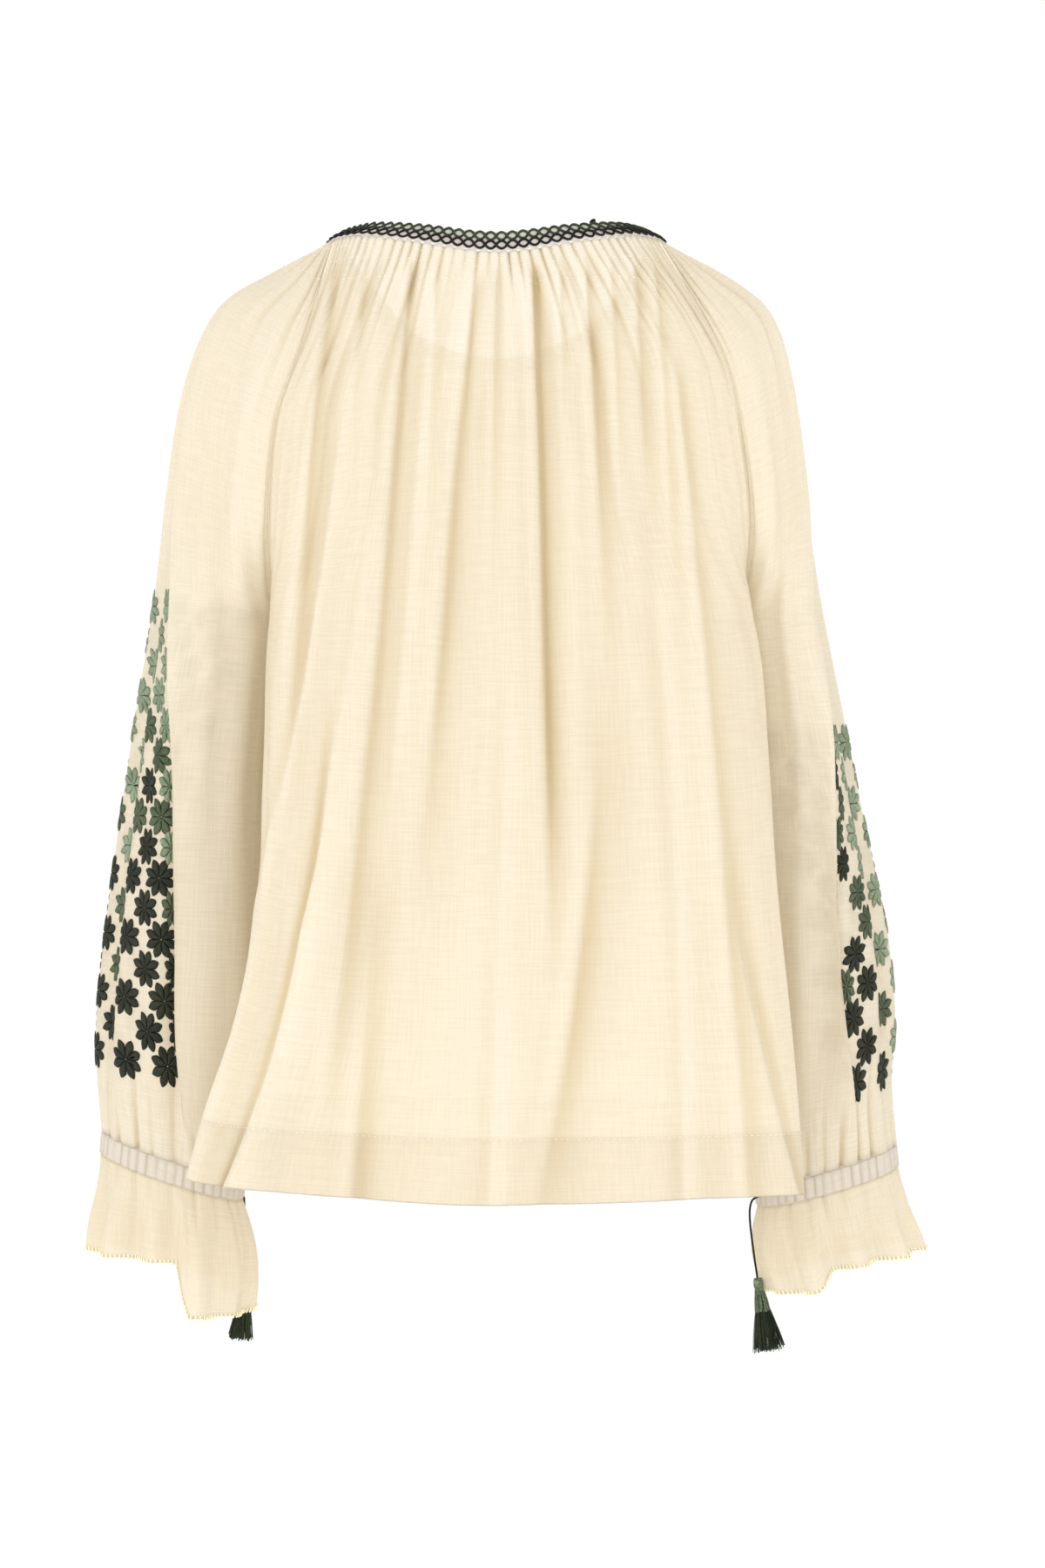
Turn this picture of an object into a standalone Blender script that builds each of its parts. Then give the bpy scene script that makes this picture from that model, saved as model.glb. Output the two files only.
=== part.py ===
"""Linen blouse with raglan sleeves, gathered into a narrow neckband.

Metres, +Z up, the front faces -Y, the wearer's left is +X.
The origin is level with the shoulder line, in the middle of the neck.
"""
import math

import bmesh
import bpy
from mathutils import Vector

for old in list(bpy.data.objects):
    bpy.data.objects.remove(old)

# Driving sizes, metres
CLOTH = 0.0012
HEM_CLOTH = 0.0024
SEAM_GAP = 0.0003
SEAM_INSET = 0.00026
BAND_HEIGHT = 0.0145
BAND_THICK = 0.0020
BAND_LIFT = 0.0006
CASING_HEIGHT = 0.0155
CASING_THICK = 0.0022
CASING_PROUD = 0.0012
TIE_WIDTH = 0.0016
NECK_SHIFT = 0.003
BACK_SEAM_TURN = 70.0
FRONT_SEAM_TURN = 110.0
UNDERARM = 0.40
SLEEVE_UNDERARM = 0.31
SLEEVE_END = 0.683
SLEEVE_COLUMNS = 44
HEM_TOP = 0.930


def table(names, *rows):
    """Rows of numbers under named columns."""
    keys = names.split()
    return [dict(zip(keys, row)) for row in rows]


# Neckband's lower edge, degrees from the middle of the back, carried a little past both middles
NECK = table(
    "at x y z lean",
    (-30, -0.063, 0.0640, -0.0135, 0.60),
    (0, 0.000, 0.0700, -0.0225, 0.25),
    (30, 0.063, 0.0640, -0.0135, 0.60),
    (55, 0.101, 0.0430, -0.0075, 0.82),
    (90, 0.1225, 0.0000, -0.0110, 0.88),
    (125, 0.101, -0.0450, -0.0400, 0.70),
    (150, 0.062, -0.0750, -0.0760, 0.50),
    (180, 0.000, -0.0880, -0.0920, 0.40),
    (210, -0.062, -0.0750, -0.0760, 0.50),
)

# Raglan seam from the neckband to the underarm
RAGLAN = table(
    "at x_left x_right y_back z_back y_front z_front",
    (0.30, 0.1395, 0.1540, 0.0750, -0.0910, -0.0780, -0.0950),
    (0.47, 0.1550, 0.1660, 0.0850, -0.1400, -0.0860, -0.1420),
    (0.69, 0.1610, 0.1740, 0.0760, -0.2090, -0.0740, -0.2090),
    (0.86, 0.1605, 0.1700, 0.0420, -0.2550, -0.0380, -0.2550),
    (1.00, 0.1580, 0.1630, 0.0050, -0.2750, 0.0050, -0.2750),
)

# Side seam from the underarm to the hem
SIDE = table(
    "at x_left x_right y z_left z_right",
    (0.40, 0.1580, 0.1630, 0.005, -0.275, -0.275),
    (0.55, 0.1590, 0.1640, 0.002, -0.372, -0.375),
    (0.75, 0.1600, 0.1650, 0.000, -0.502, -0.512),
    (1.00, 0.1620, 0.1660, 0.000, -0.670, -0.688),
)

# Middle line and back corners of the back panel
BACK = table(
    "at y z out_left out_right push lift_left lift_right",
    (0.00, 0.0700, -0.0225, 0.000, 0.000, 0.000, 0.000, 0.000),
    (0.06, 0.0790, -0.0480, 0.000, 0.000, 0.000, 0.000, 0.000),
    (0.15, 0.0900, -0.1050, 0.002, 0.002, 0.002, 0.000, 0.000),
    (0.28, 0.1020, -0.1900, 0.006, 0.007, 0.005, 0.000, 0.000),
    (0.40, 0.1120, -0.2850, 0.028, 0.044, 0.014, 0.000, 0.000),
    (0.55, 0.1200, -0.3850, 0.031, 0.055, 0.020, 0.000, 0.000),
    (0.70, 0.1270, -0.4850, 0.037, 0.062, 0.024, 0.000, 0.000),
    (0.82, 0.1320, -0.5650, 0.054, 0.070, 0.027, 0.001, 0.000),
    (0.92, 0.1360, -0.6280, 0.074, 0.076, 0.028, 0.004, 0.004),
    (1.00, 0.1390, -0.6800, 0.088, 0.080, 0.029, 0.010, 0.009),
)

# The same for the front panel
FRONT = table(
    "at y z out_left out_right push lift_left lift_right",
    (0.00, -0.0880, -0.0920, 0.000, 0.000, 0.000, 0.000, 0.000),
    (0.06, -0.0960, -0.1160, 0.000, 0.000, 0.000, 0.000, 0.000),
    (0.15, -0.1100, -0.1560, 0.003, 0.003, -0.002, 0.000, 0.000),
    (0.28, -0.1240, -0.2180, 0.008, 0.008, -0.005, 0.000, 0.000),
    (0.40, -0.1300, -0.2880, 0.018, 0.018, -0.014, 0.000, 0.000),
    (0.55, -0.1330, -0.3860, 0.020, 0.020, -0.017, 0.000, 0.000),
    (0.75, -0.1380, -0.5140, 0.024, 0.024, -0.019, 0.000, 0.000),
    (1.00, -0.1450, -0.6780, 0.028, 0.028, -0.020, 0.000, 0.000),
)

# Folds down the back: place across at three heights, where they run, width and depth
BACK_FOLDS = table(
    "high middle low start end width depth",
    (0.116, 0.138, 0.148, 0.02, 0.72, 0.012, -0.0040),
    (0.088, 0.108, 0.140, 0.03, 0.90, 0.014, 0.0045),
    (0.063, 0.078, 0.112, 0.02, 0.95, 0.012, -0.0050),
    (0.042, 0.060, 0.086, 0.04, 0.80, 0.012, 0.0035),
    (0.018, 0.042, 0.056, 0.10, 0.78, 0.011, -0.0050),
    (-0.002, 0.004, 0.010, 0.05, 0.95, 0.020, 0.0035),
    (-0.023, -0.034, -0.036, 0.02, 0.80, 0.009, -0.0060),
    (-0.042, -0.052, -0.058, 0.06, 0.75, 0.012, 0.0040),
    (-0.062, -0.078, -0.096, 0.02, 0.60, 0.011, -0.0042),
    (-0.080, -0.095, -0.118, 0.04, 0.85, 0.014, 0.0040),
    (-0.096, -0.112, -0.130, 0.02, 0.62, 0.011, -0.0040),
    (-0.116, -0.138, -0.158, 0.04, 0.80, 0.014, 0.0035),
    (-0.060, -0.072, -0.028, 0.42, 1.30, 0.016, -0.0065),
    (0.060, 0.082, 0.098, 0.60, 1.30, 0.013, -0.0055),
    (0.110, 0.112, 0.176, 0.62, 1.30, 0.014, 0.0120),
    (0.130, 0.138, 0.202, 0.66, 1.30, 0.011, -0.0060),
    (-0.010, 0.010, 0.040, 0.62, 1.30, 0.022, 0.0050),
    (-0.090, -0.100, -0.090, 0.60, 1.30, 0.022, 0.0050),
    (-0.150, -0.155, -0.140, 0.60, 1.30, 0.016, -0.0045),
)

# Folds down the front, plain and evenly soft
FRONT_FOLDS = table(
    "high middle low start end width depth",
    (0.088, 0.112, 0.132, 0.04, 1.30, 0.018, -0.0050),
    (0.062, 0.080, 0.098, 0.02, 1.30, 0.018, 0.0045),
    (0.036, 0.046, 0.060, 0.02, 1.30, 0.016, -0.0055),
    (0.010, 0.012, 0.018, 0.05, 1.30, 0.018, 0.0045),
    (-0.018, -0.022, -0.026, 0.02, 1.30, 0.016, -0.0050),
    (-0.045, -0.056, -0.064, 0.02, 1.30, 0.018, 0.0050),
    (-0.070, -0.090, -0.106, 0.03, 1.30, 0.018, -0.0055),
    (-0.092, -0.118, -0.138, 0.05, 1.30, 0.016, 0.0040),
)

# Outer line of the sleeves from the neckband to the wrist, and the fullness either side of it
SLEEVE = table(
    "at x_left z_left x_right z_right y bulge_x bulge_back bulge_front bulge_z",
    (0.000, 0.1225, -0.0110, 0.1225, -0.0110, 0.000, 0.000, 0.004, 0.004, 0.000),
    (0.050, 0.1695, -0.0310, 0.1650, -0.0330, 0.000, 0.004, 0.008, 0.008, 0.006),
    (0.090, 0.2025, -0.0540, 0.1890, -0.0570, 0.000, 0.012, 0.012, 0.012, 0.010),
    (0.144, 0.2230, -0.1050, 0.2025, -0.1000, 0.000, 0.014, 0.016, 0.018, 0.004),
    (0.220, 0.2350, -0.1800, 0.2135, -0.1780, -0.003, 0.010, 0.030, 0.026, 0.000),
    (0.310, 0.2465, -0.2700, 0.2275, -0.2720, -0.007, 0.000, 0.068, 0.060, 0.000),
    (0.425, 0.2650, -0.3850, 0.2520, -0.3900, -0.015, 0.000, 0.070, 0.056, 0.000),
    (0.540, 0.2840, -0.5000, 0.2770, -0.5000, -0.023, 0.000, 0.068, 0.052, 0.000),
    (0.606, 0.2910, -0.5650, 0.2835, -0.5650, -0.027, 0.000, 0.066, 0.052, 0.000),
    (0.650, 0.2915, -0.6100, 0.2820, -0.6100, -0.030, 0.000, 0.059, 0.050, 0.000),
    (0.683, 0.2885, -0.6450, 0.2860, -0.6550, -0.030, 0.000, 0.047, 0.046, 0.000),
)

# Underarm seam of the sleeves, and the edge of the fold that hangs behind the arm
SLEEVE_INSIDE = table(
    "at x_left z_left x_right z_right y edge_left edge_right drop pinch_left pinch_right",
    (0.310, 0.1580, -0.2750, 0.1630, -0.2750, 0.005, 0.29, 0.24, 0.007, 0.10, 0.20),
    (0.425, 0.1700, -0.3880, 0.1740, -0.3900, -0.008, 0.40, 0.33, 0.011, 0.08, 0.12),
    (0.540, 0.1745, -0.5060, 0.1780, -0.5080, -0.020, 0.49, 0.41, 0.013, 0.04, 0.05),
    (0.606, 0.1770, -0.5780, 0.1800, -0.5800, -0.025, 0.51, 0.41, 0.012, 0.02, 0.02),
    (0.650, 0.1820, -0.6350, 0.1830, -0.6400, -0.030, 0.54, 0.37, 0.007, 0.00, 0.00),
    (0.683, 0.1865, -0.6790, 0.1850, -0.6840, -0.030, 0.56, 0.35, 0.000, 0.00, 0.00),
)

# Wrist ruffles: outer and inner end of the free edge
RUFFLE = {
    "left": {"out": (0.2970, -0.030, -0.7290), "in": (0.1800, -0.030, -0.7740), "edge": 0.56, "step": 0.80},
    "right": {"out": (0.3040, -0.030, -0.7280), "in": (0.1905, -0.030, -0.7590), "edge": 0.58, "step": 0.40},
}

LINEN = (0.86, 0.80, 0.66, 1)
BAND_CREAM = (0.80, 0.76, 0.62, 1)
GREY_LINEN = (0.72, 0.70, 0.62, 1)
TIE_BLACK = (0.02, 0.02, 0.02, 1)
TASSEL_GREEN = (0.03, 0.06, 0.04, 1)

blouse = bpy.data.collections.new("linen_blouse")
bpy.context.scene.collection.children.link(blouse)


def smooth(t):
    """Soft step from 0 to 1."""
    t = min(max(t, 0.0), 1.0)
    return t * t * (3 - 2 * t)


def mix(a, b, t):
    return a + (b - a) * t


def track(rows, key, at):
    """Value of one column at a place down a table, on a smooth curve through its rows."""
    place = [row["at"] for row in rows]
    value = [row[key] for row in rows]
    at = min(max(at, place[0]), place[-1])
    i = max(k for k in range(len(rows) - 1) if place[k] <= at)
    span = place[i + 1] - place[i]
    t = (at - place[i]) / span

    def slope(k):
        low, high = max(k - 1, 0), min(k + 1, len(rows) - 1)
        return (value[high] - value[low]) / (place[high] - place[low])

    return ((2 * t ** 3 - 3 * t ** 2 + 1) * value[i] + (t ** 3 - 2 * t ** 2 + t) * span * slope(i)
            + (3 * t ** 2 - 2 * t ** 3) * value[i + 1] + (t ** 3 - t ** 2) * span * slope(i + 1))


def neck(turn):
    """Neckband's lower edge; turn is signed degrees from the middle of the back, + to the left."""
    side = 1 if turn >= 0 else -1
    return Vector((NECK_SHIFT + side * track(NECK, "x", abs(turn)),
                   track(NECK, "y", abs(turn)), track(NECK, "z", abs(turn))))


def neck_up(turn):
    """Way the band rises from its lower edge, leaning in onto the shoulders."""
    lean = track(NECK, "lean", abs(turn))
    inward = -neck(turn) + Vector((NECK_SHIFT, 0, 0))
    inward.z = 0
    return (inward.normalized() * lean + Vector((0, 0, math.sqrt(1 - lean * lean)))).normalized()


def raglan(side, face, s):
    """Point on the raglan seam, s from the neckband to the underarm."""
    turn = BACK_SEAM_TURN if face == "back" else FRONT_SEAM_TURN
    start = neck(side * turn)
    x_key = "x_left" if side > 0 else "x_right"
    first = {"at": 0.0, x_key: side * start.x, "y_" + face: start.y, "z_" + face: start.z}
    rows = [first] + RAGLAN
    return Vector((side * track(rows, x_key, s), track(rows, "y_" + face, s), track(rows, "z_" + face, s)))


def body_base(face, u, v):
    """Panel without its folds; u from the right seam -1 to the left seam 1, v from neck to hem."""
    side = 1 if u >= 0 else -1
    hand = "left" if side > 0 else "right"
    rows = BACK if face == "back" else FRONT
    centre = Vector((NECK_SHIFT, track(rows, "y", v), track(rows, "z", v)))
    if v <= UNDERARM:
        edge = raglan(side, face, v / UNDERARM)
    else:
        edge = Vector((side * track(SIDE, "x_" + hand, v), track(SIDE, "y", v), track(SIDE, "z_" + hand, v)))
    angle = abs(u) * 90
    a = math.radians(angle)
    point = Vector((mix(centre.x, edge.x, math.sin(a)),
                    mix(edge.y, centre.y, math.cos(a)),
                    mix(centre.z, edge.z, 1 - math.cos(a) ** 1.5)))
    reach = 42 if angle > 48 else 48
    corner = math.cos(math.radians(90 * min(abs(angle - 48) / reach, 1))) ** 2
    point.x += side * track(rows, "out_" + hand, v) * corner
    point.y += track(rows, "push", v) * corner
    point.z += track(rows, "lift_" + hand, v) * corner
    if v < 0.16:
        turn = BACK_SEAM_TURN * u if face == "back" else side * 180 - BACK_SEAM_TURN * u
        ring = neck(turn)
        start = body_base_neck(face, u, side)
        point += (ring - start) * (1 - smooth(v / 0.16))
    return point


def body_base_neck(face, u, side):
    """Where the plain row would start, so that it can be drawn onto the neck ring."""
    rows = BACK if face == "back" else FRONT
    centre = Vector((NECK_SHIFT, rows[0]["y"], rows[0]["z"]))
    edge = raglan(side, face, 0)
    a = math.radians(abs(u) * 90)
    return Vector((mix(centre.x, edge.x, math.sin(a)), mix(edge.y, centre.y, math.cos(a)),
                   mix(centre.z, edge.z, 1 - math.cos(a) ** 1.5)))


def fold_depth(folds, x, v):
    """Soft ridges and troughs that wander across as they go down."""
    depth = 0.0
    for fold in folds:
        t = (v - 0.1) / 0.9
        place = (fold["high"] * (1 - t) * (1 - 2 * t) + fold["middle"] * 4 * t * (1 - t)
                 + fold["low"] * t * (2 * t - 1))
        near = abs(x - place) / fold["width"]
        if near < 2:
            run = smooth((v - fold["start"]) / 0.12) * smooth((fold["end"] - v) / 0.25)
            depth += fold["depth"] * run * math.cos(near * math.pi / 4) ** 2
    return depth


def facing(base, u, v):
    """Outward direction of a surface, from the points beside one of its points."""
    step = 0.004
    across = base(min(u + step, 1), v) - base(max(u - step, -1), v)
    down = base(u, min(v + step, 1)) - base(u, max(v - step, 0))
    return across.cross(down).normalized()


def body(face, u, v):
    """Panel with the neck gathers and its folds."""
    point = body_base(face, u, v)
    out = facing(lambda a, b: body_base(face, a, b), u, v)
    if out.dot(Vector((point.x, point.y, 0))) < 0:
        out = -out
    count = BACK_GATHERS if face == "back" else FRONT_GATHERS
    fade = smooth((mix(1.0, 0.80, smooth((v - 0.30) / 0.12)) - abs(u)) / 0.12)
    gather = 0.0011 * math.cos(math.pi * count * (u + 1)) * (1 - smooth((v - 0.01) / 0.10))
    soft = 0.0016 * math.cos(math.pi * count * (u + 1) / 4) * smooth(v / 0.04) * (1 - smooth((v - 0.06) / 0.2))
    folds = BACK_FOLDS if face == "back" else FRONT_FOLDS
    depth = (gather + soft) * smooth((1 - abs(u)) / 0.03) + fold_depth(folds, point.x, v) * fade
    return point + out * depth


def sleeve_base(side, t, at):
    """Sleeve without its folds; t from -1 at the front seam over the arm to 1 at the back seam."""
    hand = "left" if side > 0 else "right"
    outer = Vector((side * track(SLEEVE, "x_" + hand, at), track(SLEEVE, "y", at),
                    track(SLEEVE, "z_" + hand, at)))
    if at < 0.05:
        outer.x += NECK_SHIFT * (1 - at / 0.05)
    face = "back" if t >= 0 else "front"
    if at <= SLEEVE_UNDERARM:
        seam = raglan(side, face, at / SLEEVE_UNDERARM)
    else:
        seam = Vector((side * track(SLEEVE_INSIDE, "x_" + hand, at), track(SLEEVE_INSIDE, "y", at),
                       track(SLEEVE_INSIDE, "z_" + hand, at)))
    bulge = Vector((side * track(SLEEVE, "bulge_x", at), 0, track(SLEEVE, "bulge_z", at)))
    bulge.y = track(SLEEVE, "bulge_" + face, at) * (1 if t >= 0 else -1)
    turn = math.pi * abs(t)
    swell = Vector((bulge.x * math.sin(turn) ** 2, bulge.y * math.sin(turn), bulge.z * math.sin(turn) ** 2))
    pinch = track(SLEEVE_INSIDE, "pinch_" + hand, at) * smooth((at - 0.16) / 0.12)
    inward = (1 - math.cos(turn)) / 2 - pinch * 4 * t * t * (1 - abs(t))
    point = outer.lerp(seam, inward) + swell
    if at < 0.05:
        ring = neck(side * (90 - 20 * t))
        start = neck(side * 90).lerp(raglan(side, face, 0), (1 - math.cos(turn)) / 2)
        start.y += math.sin(turn) * (0.004 if t >= 0 else -0.004)
        point += (ring - start) * (1 - smooth(at / 0.05))
    return point


def hanging(edge, t):
    """Fold that hangs behind the arm: a quick rise at its edge, then a slow fall to the seam."""
    return smooth((t - edge + 0.04) / 0.08) * (1 - smooth((t - edge - 0.08) / 0.40))


def sleeve(side, t, at):
    """Sleeve with its gathers and the fold behind the arm."""
    hand = "left" if side > 0 else "right"
    point = sleeve_base(side, t, at)
    scale = SLEEVE_END
    out = facing(lambda a, b: sleeve_base(side, a, b * scale), t, at / scale)
    centre = sleeve_base(side, 0, at).lerp(sleeve_base(side, 1, at), 0.5)
    if out.dot(point - centre) < 0:
        out = -out
    edge = track(SLEEVE_INSIDE, "edge_" + hand, at) * smooth(at / 0.31 + 0.35)
    drop = track(SLEEVE_INSIDE, "drop", at) * smooth((at - 0.12) / 0.2)
    point = point + Vector((0, drop * hanging(edge, t), 0))
    top = 0.0012 * math.cos(math.pi * SLEEVE_COLUMNS / 4 * (t + 1)) * (1 - smooth((at - 0.006) / 0.06))
    wrist = 0.0010 * math.cos(math.pi * SLEEVE_COLUMNS / 2 * (t + 1)) * smooth((at - 0.645) / 0.038)
    long_folds = 0.0030 * math.sin(math.pi * 5 * (t + 0.12)) * smooth((at - 0.03) / 0.2)
    long_folds *= 1 - smooth((at - 0.60) / 0.08)
    ends = smooth((1 - abs(t)) / 0.08)
    return point + out * (top + wrist + long_folds) * ends


def wrist_ring(side, t, part):
    """Ring at the wrist; part 0 is the sleeve's end, 1 the casing's lower edge."""
    down = Vector((0, 0, -1)) + Vector((side * 0.10, 0, 0))
    return sleeve_base(side, t, SLEEVE_END) + down.normalized() * (SEAM_GAP + CASING_HEIGHT) * part


def ruffle(side, t, w):
    """Wrist ruffle; w from the casing to its free edge."""
    hand = "left" if side > 0 else "right"
    size = RUFFLE[hand]
    top = wrist_ring(side, t, 1) + Vector((0, 0, -SEAM_GAP))
    turn = math.pi * abs(t)
    out, inner = Vector(size["out"]), Vector(size["in"])
    out.x *= side
    inner.x *= side
    across = (1 - math.cos(turn)) / 2
    low = out.lerp(inner, across)
    low.y += math.sin(turn) * (0.060 if t >= 0 else -0.058)
    if t >= 0:
        past = smooth((t - size["edge"] + 0.02) / 0.06)
        low.z = mix(out.z, inner.z, size["step"] * past + (1 - size["step"]) * across)
    point = top.lerp(low, w)
    way = (low - (out + inner) / 2)
    way.z = 0
    way.normalize()
    fine = 0.0010 * math.cos(math.pi * SLEEVE_COLUMNS / 2 * (t + 1)) * (1 - smooth(w / 0.7))
    wave = 0.0052 * math.cos(math.pi * SLEEVE_COLUMNS / 4 * (t + 1)) * smooth(w / 0.9)
    wave += 0.0030 * math.sin(math.pi * 5 * (t + 0.3)) * smooth(w)
    drop = 0.012 * smooth(w) * hanging(size["edge"], t)
    ends = smooth((1 - abs(t)) / 0.08)
    return point + way * (fine + wave) * ends + Vector((0, drop, 0))


def material(name, colour, rough=0.85):
    """Plain surface for one piece."""
    skin = bpy.data.materials.new(name)
    skin.use_nodes = True
    shader = skin.node_tree.nodes["Principled BSDF"]
    shader.inputs["Base Color"].default_value = colour
    shader.inputs["Roughness"].default_value = rough
    skin.diffuse_color = colour
    return skin


def keep(name, bm, colour):
    """Finished mesh as a named piece in the blouse."""
    mesh = bpy.data.meshes.new(name)
    bm.to_mesh(mesh)
    bm.free()
    piece = bpy.data.objects.new(name, mesh)
    piece.data.materials.append(material(name + "_cloth", colour))
    blouse.objects.link(piece)
    return piece


def cloth(name, surface, columns, rows, flip, colour, hem_from=None):
    """Cloth piece: a grid laid over a surface, side edges drawn in by half a seam gap, then walled inwards."""
    bm = bmesh.new()
    bmesh.ops.create_grid(bm, x_segments=columns, y_segments=len(rows) - 1, size=0.5)
    places = {}
    for vert in bm.verts:
        i = round((vert.co.x + 0.5) * columns)
        j = round((vert.co.y + 0.5) * (len(rows) - 1))
        across = -1 + 2 * i / columns
        point = surface(across, rows[j])
        if i in (0, columns):
            inward = surface(across * (1 - 2 / columns), rows[j]) - point
            point = point + inward.normalized() * SEAM_INSET
        if j == 0:
            downward = surface(across, rows[0] + 0.002) - surface(across, rows[0])
            point = point + downward.normalized() * (SEAM_GAP + 0.0003)
        places[vert] = (point, rows[j])
    heavy = []
    for vert, (point, row) in places.items():
        vert.co = point
        if hem_from is not None and row > hem_from:
            heavy.append(vert)
    if flip:
        bmesh.ops.reverse_faces(bm, faces=bm.faces[:])
    bm.verts.index_update()
    heavy = [vert.index for vert in heavy]
    piece = keep(name, bm, colour)
    wall = piece.modifiers.new("wall", "SOLIDIFY")
    wall.thickness = CLOTH
    wall.offset = -1
    if hem_from is not None:
        wall.thickness = HEM_CLOTH
        group = piece.vertex_groups.new(name="hem")
        group.add(heavy, 1.0, "REPLACE")
        wall.vertex_group = "hem"
        wall.thickness_vertex_group = CLOTH / HEM_CLOTH
    return piece


def ring_band(name, stations, corners, colour):
    """Closed strip: the corner points of one section carried round a ring."""
    bm = bmesh.new()
    rings = [[bm.verts.new(point) for point in corners(k / stations)] for k in range(stations)]
    count = len(rings[0])
    for k in range(stations):
        here, there = rings[k], rings[(k + 1) % stations]
        for i in range(count):
            bm.faces.new((here[i], here[(i + 1) % count], there[(i + 1) % count], there[i]))
    bmesh.ops.recalc_face_normals(bm, faces=bm.faces[:])
    return keep(name, bm, colour)


def band_corners(fraction):
    """Neckband's section: outer face level with the gathered cloth."""
    turn = -180 + 360 * fraction
    foot, up = neck(turn), neck_up(turn)
    along = neck(min(turn + 1, 180)) - neck(max(turn - 1, -180))
    out = up.cross(along).normalized()
    if out.dot(Vector((foot.x, foot.y, 0.02))) < 0:
        out = -out
    top = foot + up * BAND_HEIGHT
    foot = foot + up * BAND_LIFT
    return (foot + out * 0.0008, top + out * 0.0008,
            top + out * (0.0008 - BAND_THICK), foot + out * (0.0008 - BAND_THICK))


def casing_face(side, t, part):
    """Point on the casing's outer face, and the way it faces."""
    middle = (wrist_ring(side, 0, part) + wrist_ring(side, 1, part)) / 2
    point = wrist_ring(side, t, part)
    out = point - middle
    out.z = 0
    out.normalize()
    return point + out * CASING_PROUD, out


def casing_corners(side):
    """Wrist casing's section, just outside the gathered end of the sleeve."""
    def corners(fraction):
        t = -1 + 2 * fraction
        high = wrist_ring(side, t, 0)
        low = wrist_ring(side, t, 1)
        gap = (low - high).normalized() * SEAM_GAP
        middle = (wrist_ring(side, 0, 0) + wrist_ring(side, 1, 0)) / 2
        out = high - middle
        out.z = 0
        out = out.normalized()
        high = high + gap
        return (high + out * CASING_PROUD, high + out * (CASING_PROUD - CASING_THICK),
                low + out * (CASING_PROUD - CASING_THICK), low + out * CASING_PROUD)
    return corners


def cord(name, points, width, colour):
    """Round tie through a smooth row of points."""
    curve = bpy.data.curves.new(name, "CURVE")
    curve.dimensions = "3D"
    curve.bevel_depth = width / 2
    curve.bevel_resolution = 2
    curve.use_fill_caps = True
    line = curve.splines.new("POLY")
    line.points.add(len(points) - 1)
    for slot, point in zip(line.points, points):
        slot.co = (*point, 1)
    piece = bpy.data.objects.new(name, curve)
    curve.materials.append(material(name + "_cotton", colour, 0.7))
    blouse.objects.link(piece)
    return piece


def tie_points(rows):
    """Points along a tie from a short table of places, one every two widths or so."""
    steps = 14
    return [Vector((track(rows, "x", k / steps), track(rows, "y", k / steps), track(rows, "z", k / steps)))
            for k in range(steps + 1)]


def tassel(name, top, tip, spread, colour):
    """Tassel: a wound head, with strands drawn out of the underside of the head and splayed."""
    bm = bmesh.new()
    across = 6
    bmesh.ops.create_grid(bm, x_segments=across, y_segments=across, size=0.5)
    bmesh.ops.delete(bm, geom=[f for f in bm.faces if f.calc_center_median().length > 0.56], context="FACES")
    strands = bm.faces[:]
    axis = Vector(tip) - Vector(top)
    length = axis.length
    axis.normalize()
    side_way = axis.cross(Vector((0, 1, 0))).normalized()
    depth_way = axis.cross(side_way).normalized()
    head_radius, head_length = 0.0036, 0.010

    def place(flat, along, radius):
        return Vector(top) + axis * along + (side_way * flat.x + depth_way * flat.y) * radius * 2

    rim = [e for e in bm.edges if e.is_boundary]
    skirt = bmesh.ops.extrude_edge_only(bm, edges=rim)
    ring = [v for v in skirt["geom"] if isinstance(v, bmesh.types.BMVert)]
    ring_flat = {v: v.co.copy() for v in ring}
    upper_edges = [e for e in skirt["geom"] if isinstance(e, bmesh.types.BMEdge)]
    cap = bmesh.ops.extrude_edge_only(bm, edges=upper_edges)
    tip_ring = [v for v in cap["geom"] if isinstance(v, bmesh.types.BMVert)]
    tip_flat = {v: v.co.copy() for v in tip_ring}
    bmesh.ops.contextual_create(bm, geom=[e for e in cap["geom"] if isinstance(e, bmesh.types.BMEdge)])
    base_verts = {v for f in strands for v in f.verts}
    base_flat = {v: v.co.copy() for v in base_verts}
    for vert, flat in base_flat.items():
        vert.co = place(flat, head_length, head_radius)
    for vert, flat in ring_flat.items():
        vert.co = place(flat, head_length * 0.45, head_radius * 1.15)
    for vert, flat in tip_flat.items():
        vert.co = place(flat, 0, head_radius * 0.45)
    bm.faces.ensure_lookup_table()
    root = bmesh.ops.inset_individual(bm, faces=strands, thickness=0.00022, use_even_offset=True)
    assert root is not None
    strands = bmesh.ops.extrude_discrete_faces(bm, faces=strands)["faces"]
    for index, strand in enumerate(strands):
        centre = strand.calc_center_median()
        middle = centre - Vector(top)
        flat = Vector((middle.dot(side_way), middle.dot(depth_way)))
        along = head_length + (length - head_length) * (1 - 0.07 * math.sin(index * 2.4))
        fan = flat * (1 + spread / head_radius)
        target = Vector(top) + axis * along + side_way * fan.x + depth_way * fan.y
        for vert in strand.verts:
            vert.co = target + (vert.co - centre) * 0.8
    bmesh.ops.recalc_face_normals(bm, faces=bm.faces[:])
    return keep(name, bm, colour)


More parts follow.
